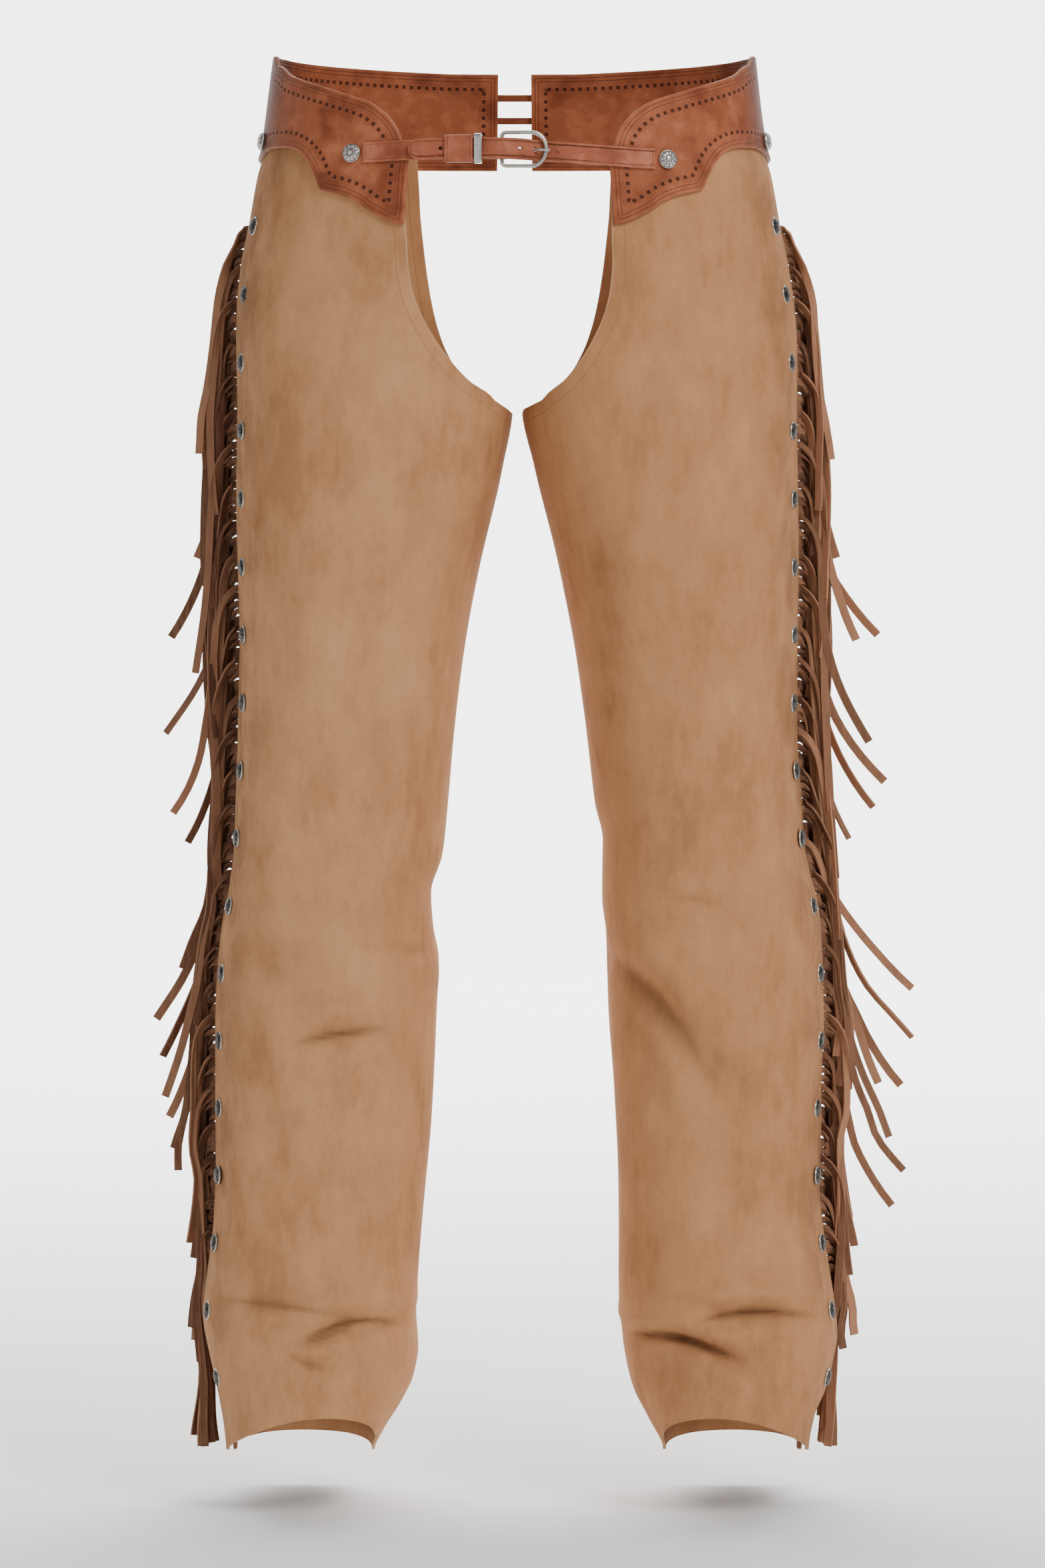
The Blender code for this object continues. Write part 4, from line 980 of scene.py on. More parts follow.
class Yoke:
    """Top and bottom heights of one yoke by place round, from its front edge to its back."""

    def __init__(self, side):
        self.side = side
        self.edges = {
            "top": self.outline(YOKE_FRONT_TOP, "top"),
            "bottom": self.outline(YOKE_FRONT_BOTTOM, "bottom"),
        }
        self.front = float(self.edges["bottom"][0][0])
        self.last = float(round_at(side, BACK_EDGE_X, 20.0, -1))

    def outline(self, table, edge):
        first, last = table.keys[[0, -1]]
        x = np.append(np.arange(first, last, YOKE_STEP), last)
        z = table.at("z", x)
        turned = x - self.side * TURN * (1 - (x / WAIST_HALF) ** 2)
        around = round_at(self.side, turned, z, 1)
        return (np.concatenate([around, YOKE_BACK.keys]),
                np.concatenate([z, YOKE_BACK.column(edge)]))

    def height(self, edge, around):
        return np.interp(around, *self.edges[edge])


yokes = {side: Yoke(side) for side in WORDS}
print("yoke from", round(yokes[1].front, 3), "to", round(yokes[1].last, 3), "of the way round")

# %% [markdown]
# ## Leg panels
#
# Each leg is one panel that starts at the outer seam, goes over the front, round the inner
# thigh and the back, and ends under its own front edge. A cloth simulation would lose the
# creases that matter, so the panel is built as a fine grid on the surface: one column for each
# place along its top edge, running down to the hem. Above, a column stands where the cut edge
# is; below the crotch it slides to its even place round the leg.

# %% Columns of a leg panel
CROTCH_Z = -183.0
SEAT_TOP_X = 70.0
FRONT_TURN = 0.225      # share of a turn from the inner thigh to the front edge

# Cut edges above the crotch, in front and at the seat: outward x by height
CROTCH_EDGE = Table(
    "z right left",
    (-44, 75.5, 66.5),
    (-62, 73.4, 66.4),
    (-80, 72.6, 66.9),
    (-97, 70.2, 65.5),
    (-113, 64.5, 62.0),
    (-130, 55.5, 55.0),
    (-147, 43.5, 45.0),
    (-161, 30.5, 33.5),
    (-173, 15.0, 20.5),
)

SEAT_EDGE = Table(
    "z x",
    (-30, 68),
    (-66, 65),
    (-100, 60),
    (-130, 52),
    (-155, 39),
    (-174, 20),
)

# Columns over the hip, down the crotch's edge, up the seat's edge and over the back
HIP_COLUMNS, CROTCH_COLUMNS, SEAT_COLUMNS, BACK_COLUMNS = 56, 46, 43, 52
COLUMN_GAP = 0.004      # keeps the hip's last column clear of the edge's first one
EDGE_TOP, SEAT_TOP, BACK_END = -48, -30, -0.538


def panel_columns(side):
    """Place round and height at the top edge, and place round lower down, of every column."""
    yoke = yokes[side]
    z = np.linspace(EDGE_TOP, CROTCH_Z, CROTCH_COLUMNS)
    x = np.append(CROTCH_EDGE.at(WORDS[side], z[:-1]), 0.0)
    coarse = np.insert(CROTCH_EDGE.keys, 0, CROTCH_Z)
    share = np.interp(z, coarse, np.linspace(1, 0, len(coarse)))
    x = x * np.interp(z, (CROTCH_Z, CROTCH_EDGE.keys[0]), (0.0, 1.0))
    edge_round, edge_low = round_at(side, x, z, 1), round_at_angle(FRONT_TURN * (1 - share))
    hip_end = max(yoke.front, float(edge_round[0]) + 0.001)
    hip = np.linspace(0.5, hip_end, HIP_COLUMNS)
    hip_low = np.interp(hip, (hip[-1], 0.5), (float(edge_low[0]) + COLUMN_GAP, 0.5))
    parts = [(hip, yoke.height("bottom", hip) + YOKE_OVERLAP, hip_low)]
    parts.append((edge_round, z, edge_low))

    z = np.linspace(CROTCH_Z, SEAT_TOP, SEAT_COLUMNS + 1)[1:]
    coarse = np.insert(SEAT_EDGE.keys, 0, CROTCH_Z)
    share = np.interp(z, coarse, np.linspace(0, 1, len(coarse) + 1)[:-1])
    x = SEAT_EDGE.at("x", z) * np.interp(z, (CROTCH_Z, SEAT_EDGE.keys[0]), (0.0, 1.0))
    parts.append((round_at(side, x, z, -1) - 1, z, -round_at_angle(FRONT_TURN * share)))

    corner = float(round_at(side, SEAT_TOP_X, 0.0, -1)) - 1
    back = np.linspace(corner, BACK_END, BACK_COLUMNS)
    parts.append((back, yoke.height("bottom", back + 1) + YOKE_OVERLAP, back))
    return [np.concatenate(group) for group in zip(*parts)]


print("columns of a leg:", len(panel_columns(1)[0]))

# %% [markdown]
# The rows are close together at the knee and at the ankle, where the cloth folds most. The hem
# dips at both seams and rises over the instep. The free edge above the crotch keeps its own
# distance as an attribute, which the suede's turned line follows.

# %% Legs
HEM_LOW, HEM_RISE, HEM_LEAN, HEM_ARCH = -909.0, 36.0, 0.777, 0.55
RIM_SPREAD = 170.0
SUEDE, SEAM_GAP = 2.0, 0.5
BACK_DROP = 2 * (SUEDE + SEAM_GAP)      # how far the back edge goes in to lie under the front
BACK_ROUNDS = (0.43, 0.482)             # where it does so, backwards from the inner thigh
LEVELS = (-240, -500, -670, -770, -858)
LEVEL_ROWS = (46, 36, 64, 20, 42, 18)
EDGE_ROWS, EDGE_FAR = 70, 30.0


def hem_height(around):
    front = np.mod(around, 1.0) < 0.5
    across = np.sin(np.pi * np.mod(around, 1.0)) ** (2 / ROUNDNESS)
    rise = np.clip(np.sin(np.pi * across ** HEM_LEAN), 0.0, 1.0) ** HEM_ARCH
    return HEM_LOW + HEM_RISE * np.where(front, rise, 0.0)


def edge_distance(outer):
    """Distance from the cut edges at each point of a leg, as far as the suede needs it."""
    edge = np.full(outer.shape[:2], EDGE_FAR)
    free = slice(HIP_COLUMNS - 1, HIP_COLUMNS + CROTCH_COLUMNS + SEAT_COLUMNS + 1)
    line = resample(outer[0, free], 1.0)
    near = slice(0, EDGE_ROWS)
    edge[near] = np.minimum(nearest(outer[near], line, closed=False)[0], EDGE_FAR)
    edge[-1] = 0.0
    edge[:, 0] = np.minimum(edge[:, 0], 0.5)
    return edge


def build_leg(side, word):
    rim_round, rim, low_round = panel_columns(side)
    hem = hem_height(low_round)
    levels = [rim] + [np.full_like(rim, z) for z in LEVELS] + [hem]
    rows = []
    for start, end, count in zip(levels, levels[1:], LEVEL_ROWS):
        rows += [start + (end - start) * i / count for i in range(count)]
    z = np.array(rows + [hem])
    around = rim_round + (low_round - rim_round) * ease(0, RIM_SPREAD, rim - z)
    crease, sharp = creases(side, around, z)
    out = crease + swell(side, around, z) - BACK_DROP * ease(*BACK_ROUNDS, -around)
    outer = place(side, around, z, out)
    inner = place(side, around, z, out - SUEDE)
    from_seam = np.abs(np.mod(around, 1.0) - 0.5)
    # outer marks the side towards the outer seam, where the suede paints shade
    attributes = {"crease": crease, "sharp": sharp, "edge": edge_distance(outer),
                  "outer": ease(0.24, 0.04, from_seam)}
    mesh = wall(f"{word}_leg", outer, inner, attributes)
    leg = piece(f"{word}_leg", mesh, suedes[side], [f"{word}_leg_panel"], 50)
    print(leg.name, z.shape, "faces", len(mesh.polygons))
    return leg


legs = {side: build_leg(side, word) for side, word in WORDS.items()}

# %% [markdown]
# ## Yokes
#
# A yoke is one thick tooled panel. Its grid follows it from the front edge to the laces, and
# the lines of points crowd together at the edges, where the leather is rounded over with a
# burnisher. The line that the stamped dots follow is the outline moved inwards, less the loops
# that such a move makes in the corners.

# %% Lines of points for a tooled panel


def crowded(length, step, first=0.35, growth=1.5):
    """Positions from 0 to length whose gaps grow from both ends to an even step."""
    near = [0.0]
    gap = first
    while gap < step and near[-1] + gap < length / 2:
        near.append(near[-1] + gap)
        gap *= growth
    middle = np.linspace(near[-1], length - near[-1], max(int((length - 2 * near[-1]) / step), 2))
    return np.concatenate([near[:-1], middle, length - np.array(near[:-1])[::-1]])


def inset(loop, distance):
    """Closed line at an even distance inside a closed line of close points."""
    tangent = np.roll(loop, -4, axis=0) - np.roll(loop, 4, axis=0)
    normal = unit(np.stack([-tangent[:, 1], tangent[:, 0]], axis=1))
    turning = (loop[:, 0] * np.roll(loop[:, 1], -1) - np.roll(loop[:, 0], -1) * loop[:, 1]).sum()
    moved = loop + normal * distance * np.sign(turning)
    clear = nearest(moved, loop)[0] > distance - 0.2
    return resample(moved[clear], 0.5, closed=True)


print("gaps from an edge:", np.diff(crowded(100.0, 2.0))[:5].round(2))

# %% [markdown]
# The grid lies on the surface, and the leather's face stands out from it by the thickness, less
# what the burnisher took off along the edges. A very slight roll keeps the panel from looking
# like plate.

# %% Yokes
YOKE_LEATHER, GAP = 3.0, 0.3
COLUMN_STEP, ROW_STEP = 1.35, 1.9
EDGE_LOSS, EDGE_ROUND = 0.9, 1.3


def burnished(edge):
    """How far out the yoke's face lies near an edge that is rounded over."""
    return YOKE_LEATHER - EDGE_LOSS * (1 - np.clip(edge / EDGE_ROUND, 0, 1)) ** 2


def build_yoke(side, word):
    yoke = yokes[side]
    fine = np.linspace(yoke.front, yoke.last, 800)
    length = run_lengths(surface(side, fine, np.zeros_like(fine)))
    columns = crowded(length[-1], COLUMN_STEP)
    around = np.interp(columns, length, fine)
    low, high = yoke.height("bottom", around), yoke.height("top", around)
    rows = crowded(100.0, ROW_STEP) / 100.0
    z = low + (high - low) * rows[:, None]
    around = np.broadcast_to(around, z.shape)
    flat = np.stack([np.broadcast_to(columns, z.shape), z], axis=-1)
    loop = np.concatenate([flat[::-1, -1], flat[0, ::-1], flat[:, 0], flat[-1]])
    loop = resample(loop, 0.4, closed=True)
    edge = nearest(flat, loop)[0]
    dots = inset(loop, DOT_LINE)
    off, along = nearest(flat, dots)
    total = np.linalg.norm(np.roll(dots, -1, axis=0) - dots, axis=1).sum()
    along = along * (DOT_PITCH * round(total / DOT_PITCH) / total)
    roll = 0.35 * np.sin(flat[..., 0] / 17 + side) * np.sin(z / 23 + 0.5) * ease(2, 14, edge)
    outer = place(side, around, z, GAP + burnished(edge) + roll)
    inner = place(side, around, z, np.full(z.shape, GAP))
    # outer marks the yoke's sides towards the outer seam, where the leather paints shade
    attributes = {"edge": edge, "dot_along": along, "dot_off": off,
                  "outer": ease(0.22, 0.04, np.abs(around - 0.5))}
    mesh = wall(f"{word}_waist", outer, inner, attributes)
    part = piece(f"{word}_waist", mesh, yoke_leather, [f"{word}_yoke"], 60)
    print(part.name, z.shape, "dots", round(total / DOT_PITCH))
    return part


waist = {side: build_yoke(side, word) for side, word in WORDS.items()}

# %% [markdown]
# ## Fringe
#
# The fringe is a narrow band of dyed suede caught in the outer seam, with its free edge cut
# into strips. The solids have a strip in every second place; here a neighbour hangs between
# each and the next. Most strips lie combed down in a bundle, whose edge is in `BUNDLE`, and the
# tips in `TIPS` swing clear of it.

# %% Tables of the fringe
# Strips whose tips swing clear of the rest: where each tip ends, outwards and in height
TIPS = Table(
    "side z x",
    (-1, -211, 220), (-1, -284, 223), (-1, -339, 240), (-1, -364, 223), (-1, -407, 245),
    (-1, -462, 239), (-1, -484, 230), (-1, -572, 233), (-1, -608, 252), (-1, -635, 248),
    (-1, -661, 245), (-1, -677, 243), (-1, -699, 240), (-1, -713, 236), (-1, -764, 228),
    (-1, -777, 226), (-1, -826, 228), (-1, -836, 226), (-1, -902, 226),
    (1, -215, 221), (1, -284, 226), (1, -338, 255), (1, -341, 239), (1, -412, 248),
    (1, -440, 259), (1, -459, 252), (1, -481, 235), (1, -494, 212), (1, -587, 280),
    (1, -620, 279), (1, -653, 256), (1, -655, 272), (1, -690, 263), (1, -713, 273),
    (1, -738, 265), (1, -748, 236), (1, -767, 239), (1, -787, 235), (1, -832, 240),
    (1, -839, 231), (1, -896, 218), (1, -904, 223),
)

# How far outwards the combed strips lie, at heights down each side
BUNDLE = Table(
    "z right left",
    (-60, 196, 196), (-80, 204, 204), (-108, 210, 212), (-136, 212, 214), (-164, 215, 216),
    (-192, 219, 220), (-248, 220, 222), (-331, 222, 224), (-387, 218, 224), (-443, 213, 224),
    (-499, 216, 227), (-527, 217, 229), (-554, 223, 231), (-582, 226, 233), (-610, 228, 238),
    (-666, 228, 238), (-694, 229, 232), (-722, 224, 233), (-778, 224, 234), (-806, 227, 234),
    (-833, 225, 227), (-861, 223, 227), (-900, 225, 228),
)
print("free tips:", len(TIPS.rows))

# %% [markdown]
# A strip arches out of the seam over its own stiffness and then hangs. Strips lie in lanes one
# behind another, and those of each lane reach out by a different amount. Where a strip would
# hang outside the bundle, a soft limit leads it down along the bundle's edge.

# %% Line of a strip
ROOT_BOTTOM = -784.0
LANE_PITCH, DRIFT = 2.9, 0.055
BUNDLE_MARGIN, LANE_SETBACK, LIMIT_SOFTNESS = 3.4, 0.3, 1.5


def strand_line(side, lane, root, reach, steps):
    """Middle line of one hanging strip, as outward x, y and z at depths below its root."""
    heights = np.maximum(root - steps[:, None] + np.array([-40, -20, 0, 20, 40]), ROOT_BOTTOM)
    half = np.full(heights.shape, 0.5)
    hang = section(side, half, heights)[0].mean(axis=1)
    here = section(side, 0.5, np.array(root))[0]
    x = here + (hang - here) * ease(0, 40, steps)
    x = x + reach * (1 - np.exp(-steps / (0.62 * reach))) + DRIFT * steps
    limit = BUNDLE.at(WORDS[side], root - steps) - BUNDLE_MARGIN - LANE_SETBACK * lane
    x = x - LIMIT_SOFTNESS * np.logaddexp(0.0, (x - limit) / LIMIT_SOFTNESS)
    lane_y = SEAM_Y + 6.5 + lane * LANE_PITCH
    start_y = section(side, 0.512, np.array(root))[1]
    y = start_y + (lane_y - start_y) * ease(0, 9, steps)
    z = root - steps + 1.2 * (steps / 5.0) * np.exp(1 - steps / 5.0)
    return np.stack([x, y, z], axis=-1)


print("a strip hangs to", strand_line(1, 0, -52.0, 16.0, np.array([0.0, 158.0]))[-1].round(1))

# %% [markdown]
# No two strips are alike: each has its own length, curl, sway, width, twist and tone, all drawn
# from one seeded row of random numbers. A strip turns on its edge where it leaves the seam and
# shows more of its face lower down.

# %% Shape of a strip
LANES, LANE_STEP = 9, 4
REACHES = (16.0, 10.5, 19.0, 8.0, 14.0, 18.0, 5.5, 11.5, 4.5)    # of each lane, from the seam
STRAND_WIDTH, STRAND_LENGTH, TIP_FLOOR = 5.6, 158.0, -908.0
ROOT_STEPS = (0.0, 0.25, 0.6, 1.1, 1.8, 2.8, 4.2, 6.0, 8.5, 12.0)
FLARE_START = 96.0                      # above the tip


def hung_strip(side, number, root, tip, chance):
    """Depths below its root and middle line of one strip; tip is where a free one ends."""
    own, between = divmod(number, 2)
    lane = (own + 5 * between) * LANE_STEP % LANES
    reach = REACHES[lane] + chance.uniform(-1.2, 1.2)
    reach = max(reach, 21.0 - 4.0 * number)
    if tip:
        length = root - tip[1]
    else:
        length = STRAND_LENGTH * (1 + 0.07 * chance.uniform(-1, 1)) * (0.95 if between else 1)
    length = min(length, root - TIP_FLOOR)
    steps = np.concatenate([ROOT_STEPS, np.linspace(17.0, length, 17)])
    line = strand_line(side, lane, root, reach, steps)
    curl = np.maximum(steps - (length - FLARE_START), 0.0) / FLARE_START
    flare = tip[0] - line[-1, 0] if tip else chance.uniform(-8.0, 0.5)
    line[:, 0] += flare * curl ** chance.uniform(1.7, 2.3)
    sway = chance.uniform(-2.2, 2.2) * np.sin(steps / length * chance.uniform(2.0, 4.6))
    line[:, 0] += 0.9 * sway * ease(20, 90, steps) * ease(length, length - 30, steps)
    line[:, 1] += sway * ease(10, 60, steps)
    return steps, line


def strip_rings(side, steps, line, between, chance):
    """Rings of six points along a strip, the first of them hidden in the seam."""
    run = unit(np.gradient(line, axis=0))
    across = np.stack([-run[:, 2], np.zeros(len(run)), run[:, 0]], axis=-1)
    deep = unit(np.cross(run, unit(across)))
    across = unit(np.cross(deep, run))
    root_twist = (0.85 if between else 1.25) * chance.choice((-1, 1))
    hang_twist = chance.uniform(-0.75, 0.75) * (1.6 if chance.uniform() > 0.85 else 1.0)
    twist = root_twist * ease(0.3, 2.6, steps) * ease(52, 9, steps)
    twist = twist + hang_twist * ease(12, 60, steps)
    cosine, sine = np.cos(twist)[:, None], np.sin(twist)[:, None]
    wide, thick = across * cosine + deep * sine, deep * cosine - across * sine
    width = STRAND_WIDTH * (1 + 0.10 * chance.uniform(-1, 1)) / 2 * np.ones(len(steps))
    width[:3] = (2.6, 2.6, 2.7)
    cup = 0.35 * chance.uniform(-1, 1)
    rings = []
    for i, middle in enumerate(line):
        w, t, bulge = wide[i] * width[i], thick[i] * 0.75, thick[i] * cup
        ring = [middle - w - t, middle - t + bulge, middle + w - t,
                middle + w + t, middle + t + bulge, middle - w + t]
        rings.append([(side * p[0], p[1], p[2]) for p in ring])
    rings.insert(0, np.array(rings[0]) + np.array([-side * 3.4, -1.2, 0.0]))
    return rings


print("lanes:", LANES, "of strips", STRAND_WIDTH, "mm wide")

# %% [markdown]
# All strips of a side are one mesh with the band that holds them. `Ribbons` gathers them: it
# joins the rings of each strip with faces and closes its two ends.

# %% Gathering strips


class Ribbons:
    """Closed strips of six-sided section for one mesh, with numbers kept on their points."""

    def __init__(self):
        self.points, self.faces = [], []
        self.kept = {"tone": [], "along": [], "edge": []}

    def add(self, rings, tone, along):
        first, sides = len(self.points), len(rings[0])
        for ring, distance in zip(rings, along):
            for k, point in enumerate(ring):
                self.points.append(point)
                self.kept["tone"].append(tone)
                self.kept["along"].append(distance)
                self.kept["edge"].append(0.0 if k in (1, 4) else 1.0)
        last = len(self.points) - sides
        for a in range(first, last, sides):
            for k in range(sides):
                j = (k + 1) % sides
                self.faces.append([a + k, a + j, a + sides + j, a + sides + k])
        self.faces.append([first + k for k in range(sides)][::-1])
        self.faces.append([last + k for k in range(sides)])


print("numbers kept on the points:", list(Ribbons().kept))

# %% [markdown]
# The band goes in first. A free tip belongs to the strip that would hang nearest to its height
# by itself, and the strips of the left leg are a little paler.

# %% Fringe
STRANDS, ROOT_TOP = 66, -52.0
BAND_ROWS, BAND_TOP, BAND_OUTS = 150, -20.0, (-2.7, -4.3)
BAND_ROUNDS = (0.482, 0.5028, 0.5135)
TONES = {-1: (-0.25, 0.75), 1: (0.05, 1.0)}


def chosen_tips(side, roots):
    """The strip that each free tip belongs to: the nearest that hangs to about its height."""
    chosen = {}
    for row in TIPS.rows[TIPS.rows[:, 0] == side]:
        order = np.argsort(np.abs(roots - STRAND_LENGTH - row[1]))
        number = next(int(i) for i in order if int(i) not in chosen)
        chosen[number] = (row[2], row[1])
    return chosen


def build_fringe(side, word):
    chance = np.random.default_rng(11 + side)
    ribbons = Ribbons()
    z = np.linspace(BAND_TOP, ROOT_BOTTOM, BAND_ROWS)
    face, back = ([place(side, np.full(BAND_ROWS, around), z, np.full(BAND_ROWS, out))
                   for around in BAND_ROUNDS] for out in BAND_OUTS)
    ribbons.add(np.stack(face + back[::-1], axis=1), 0.3, np.zeros(BAND_ROWS))

    count = 2 * STRANDS
    roots = ROOT_TOP + (ROOT_BOTTOM - ROOT_TOP) * (np.arange(count) + 0.5) / count
    free = chosen_tips(side, roots)
    for number, root in enumerate(roots):
        steps, line = hung_strip(side, number, root, free.get(number), chance)
        rings = strip_rings(side, steps, line, number % 2, chance)
        tone = chance.uniform(*TONES[side])
        ribbons.add(rings, tone, np.concatenate([[0.0], steps]))

    mesh = build(f"{word}_strips", np.array(ribbons.points), ribbons.faces, ribbons.kept)
    part = piece(f"{word}_strips", mesh, strips, [f"{word}_fringe"], 45)
    print(part.name, count, "strips, free tips", len(free), "faces", len(mesh.polygons))
    return part


fringes = {side: build_fringe(side, word) for side, word in WORDS.items()}

# %% [markdown]
# ## Studs and conchos
#
# Domed studs close the seam on its front edge, and four engraved conchos sit where the strap
# meets the yokes and on the hips. Both are turned: a profile of radius and height is spun
# round the normal of the leather under it. A concho's cut petals are waves in its height.

# %% Turned domes
RIM = ((0.97, 0.0), (1.0, 0.05), (1.0, 0.11))       # shares of the radius and of the height


def dome(name, centre, axis, radius, height, engraved, node, sides, steps):
    """Low dome with a rolled rim, turned about the axis, with petals cut in it if engraved."""
    axis = unit(axis)
    across = unit(np.cross(axis, (0.0, 0.0, 1.0)))
    upward = np.cross(across, axis)
    share = np.linspace(0, 1, steps)[:, None]
    angle = np.linspace(0, 2 * np.pi, sides, endpoint=False)[None]
    tilt = share * np.pi / 2
    reach = radius * np.cos(tilt) ** 0.85 + np.zeros_like(angle)
    lift = height * (0.14 + 0.86 * np.sin(tilt) ** 1.15) + np.zeros_like(angle)
    flat = reach / radius
    # plain studs: nearly the whole dome is dark, a painted reflection of the leather round it
    recess = 0.92 * ease(0.995, 0.93, flat)
    if engraved:
        petals = np.abs(np.cos(5 * angle)) * (flat > 0.36) * (flat < 0.84)
        recess = np.clip(1 - petals * 2.4, 0, 1) * ease(0.30, 0.40, flat) * ease(0.90, 0.82, flat)
        recess = np.maximum(recess, np.exp(-((flat - 0.87) / 0.035) ** 2))
        recess = np.maximum(recess, np.exp(-((flat - 0.33) / 0.045) ** 2))
        lift = lift - 0.42 * recess
    rim = np.array(RIM) * (radius, height)
    reach = np.concatenate([rim[:, :1] + np.zeros_like(angle), reach[:-1]])
    lift = np.concatenate([rim[:, 1:] + np.zeros_like(angle), lift[:-1]])
    recess = np.concatenate([np.zeros((len(RIM), sides)), recess[:-1]])
    spokes = across * np.cos(angle)[..., None] + upward * np.sin(angle)[..., None]
    points = centre + axis * lift[..., None] + spokes * reach[..., None]
    rows = len(points)
    faces = []
    for i in range(rows - 1):
        for k in range(sides):
            j = (k + 1) % sides
            faces.append([i * sides + k, i * sides + j, (i + 1) * sides + j, (i + 1) * sides + k])
    faces.append(list(range(sides))[::-1])
    faces += [[(rows - 1) * sides + k, (rows - 1) * sides + (k + 1) % sides, rows * sides]
              for k in range(sides)]
    flat_points = np.concatenate([points.reshape(-1, 3), [centre + axis * height]])
    mesh = build(name, flat_points, faces, {"recess": np.append(recess.ravel(), recess[-1, 0])})
    return piece(name, mesh, silver, [node], 60)


print("rings of points in the rim of a dome:", len(RIM))

# %% [markdown]
# A stud stands on the base of its own solid. A concho stands on the leather, on a line from a
# point just above its face to one 5 mm further out.

# %% Studs and conchos
STUDS, STUD_TOP, STUD_PITCH, STUD_ROUND = 18, -54.0, 47.0, 0.42
STUD_RADIUS, STUD_HEIGHT, STUD_MESH = 6.5, 3.0, (32, 9)
CONCHO_RADIUS, CONCHO_HEIGHT, CONCHO_MESH = 6.6, 3.6, (60, 18)
CONCHO_X = {-1: -109.0, 1: 102.8}

# Middle height of the front strap along its run
STRAP_Z = Table(
    "x z",
    (-104, -6.8),
    (-70, -5.4),
    (-35, -4.8),
    (0, -5.3),
    (30, -7.0),
    (60, -9.0),
    (95, -11.0),
)


def cad_base(node, rise):
    """Middle of a small solid's base: the centre of its box less the rise above the base."""
    low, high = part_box(node)
    return np.array((low + high) / 2) * 1000 - rise


for side, word in WORDS.items():
    for number in range(STUDS):
        node = f"{word}_stud_{number + 1:02d}"
        axis = outward(side, STUD_ROUND, np.array(STUD_TOP - STUD_PITCH * number))
        centre = cad_base(node, axis * STUD_HEIGHT / 2)
        dome(f"{word}_rivet_{number + 1:02d}", centre, axis, STUD_RADIUS, STUD_HEIGHT, False,
             node, *STUD_MESH)
    x = CONCHO_X[side]
    medals = {
        "front": hip_point(x, float(STRAP_Z.at("z", x)) - 0.3, [3.9, 8.9], 1),
        "hip": place(side, [0.45, 0.45], [4.0, 4.0], [4.2, 9.2]),
    }
    for name, (base, tip) in medals.items():
        dome(f"{word}_{name}_medal", base, tip - base, CONCHO_RADIUS, CONCHO_HEIGHT, True,
             f"{word}_{name}_concho", *CONCHO_MESH)
    print(word, "studs:", STUDS, "conchos:", len(medals))

# %% [markdown]
# ## Front strap
#
# A short strap, the chape, comes from the wearer's right yoke and folds round the buckle's
# heel bar. A long one, the billet, comes from the left, lies under the buckle's toe, over its
# heel and on over the chape through two keepers to its rounded tip. Both are walls whose edges
# are rounded over. A punched hole is a square of cells left out, with the lines of points round
# it drawn into a circle.

# %% Making a strap
HOLE_LINES = np.array([-2.2, -1.6, -1, -0.5, 0, 0.5, 1, 1.6, 2.2])     # times its half size
RIM_LINES = np.array([0.0, 0.25, 0.6, 1.1, 1.8, 2.6])                   # in from the edge


def strap_point(x, across, out):
    return hip_point(x, STRAP_Z.at("z", x) + across, out, 1)


def strap_marks(length, holes):
    """Distances of the lines of points along a strap, with lines on the edges of its holes."""
    marks = [crowded(length, 1.0)]
    for middle, half in holes:
        marks.append(middle + half * HOLE_LINES)
    marks = np.unique(np.concatenate(marks).round(3))
    fixed = [middle + half * k for middle, half in holes for k in (-1, 1)]
    spaced = [marks[0]]
    for mark in marks[1:]:
        if mark - spaced[-1] > 0.3:
            spaced.append(mark)
        elif any(abs(mark - f) < 0.002 for f in fixed):
            spaced[-1] = mark
    return np.array(spaced)


def punched(along, lines, across, holes, size):
    """Points drawn into circles round the holes: across, moves along, and cells that stay."""
    shift = np.zeros(across.shape)
    keep = np.ones((len(along) - 1, len(lines) - 1), bool)
    for middle, half in holes:
        a = along[:, None] - middle + np.zeros(across.shape)
        b = across / size * half
        square, circle = np.maximum(np.abs(a), np.abs(b)), np.hypot(a, b)
        share = ease(2.2 * half, half, square) * (circle > 0.01)
        factor = 1 + (square / np.maximum(circle, 0.01) - 1) * share
        shift = shift + a * (factor - 1)
        across = np.where(share > 0, across * factor * (half / size * share + 1 - share), across)
        rows = (along[:-1] > middle - half - 0.01) & (along[1:] < middle + half + 0.01)
        inside = (lines[:-1] > -size - 0.01) & (lines[1:] < size + 0.01)
        keep &= ~(rows[:, None] & inside[None])
    return across, shift, keep


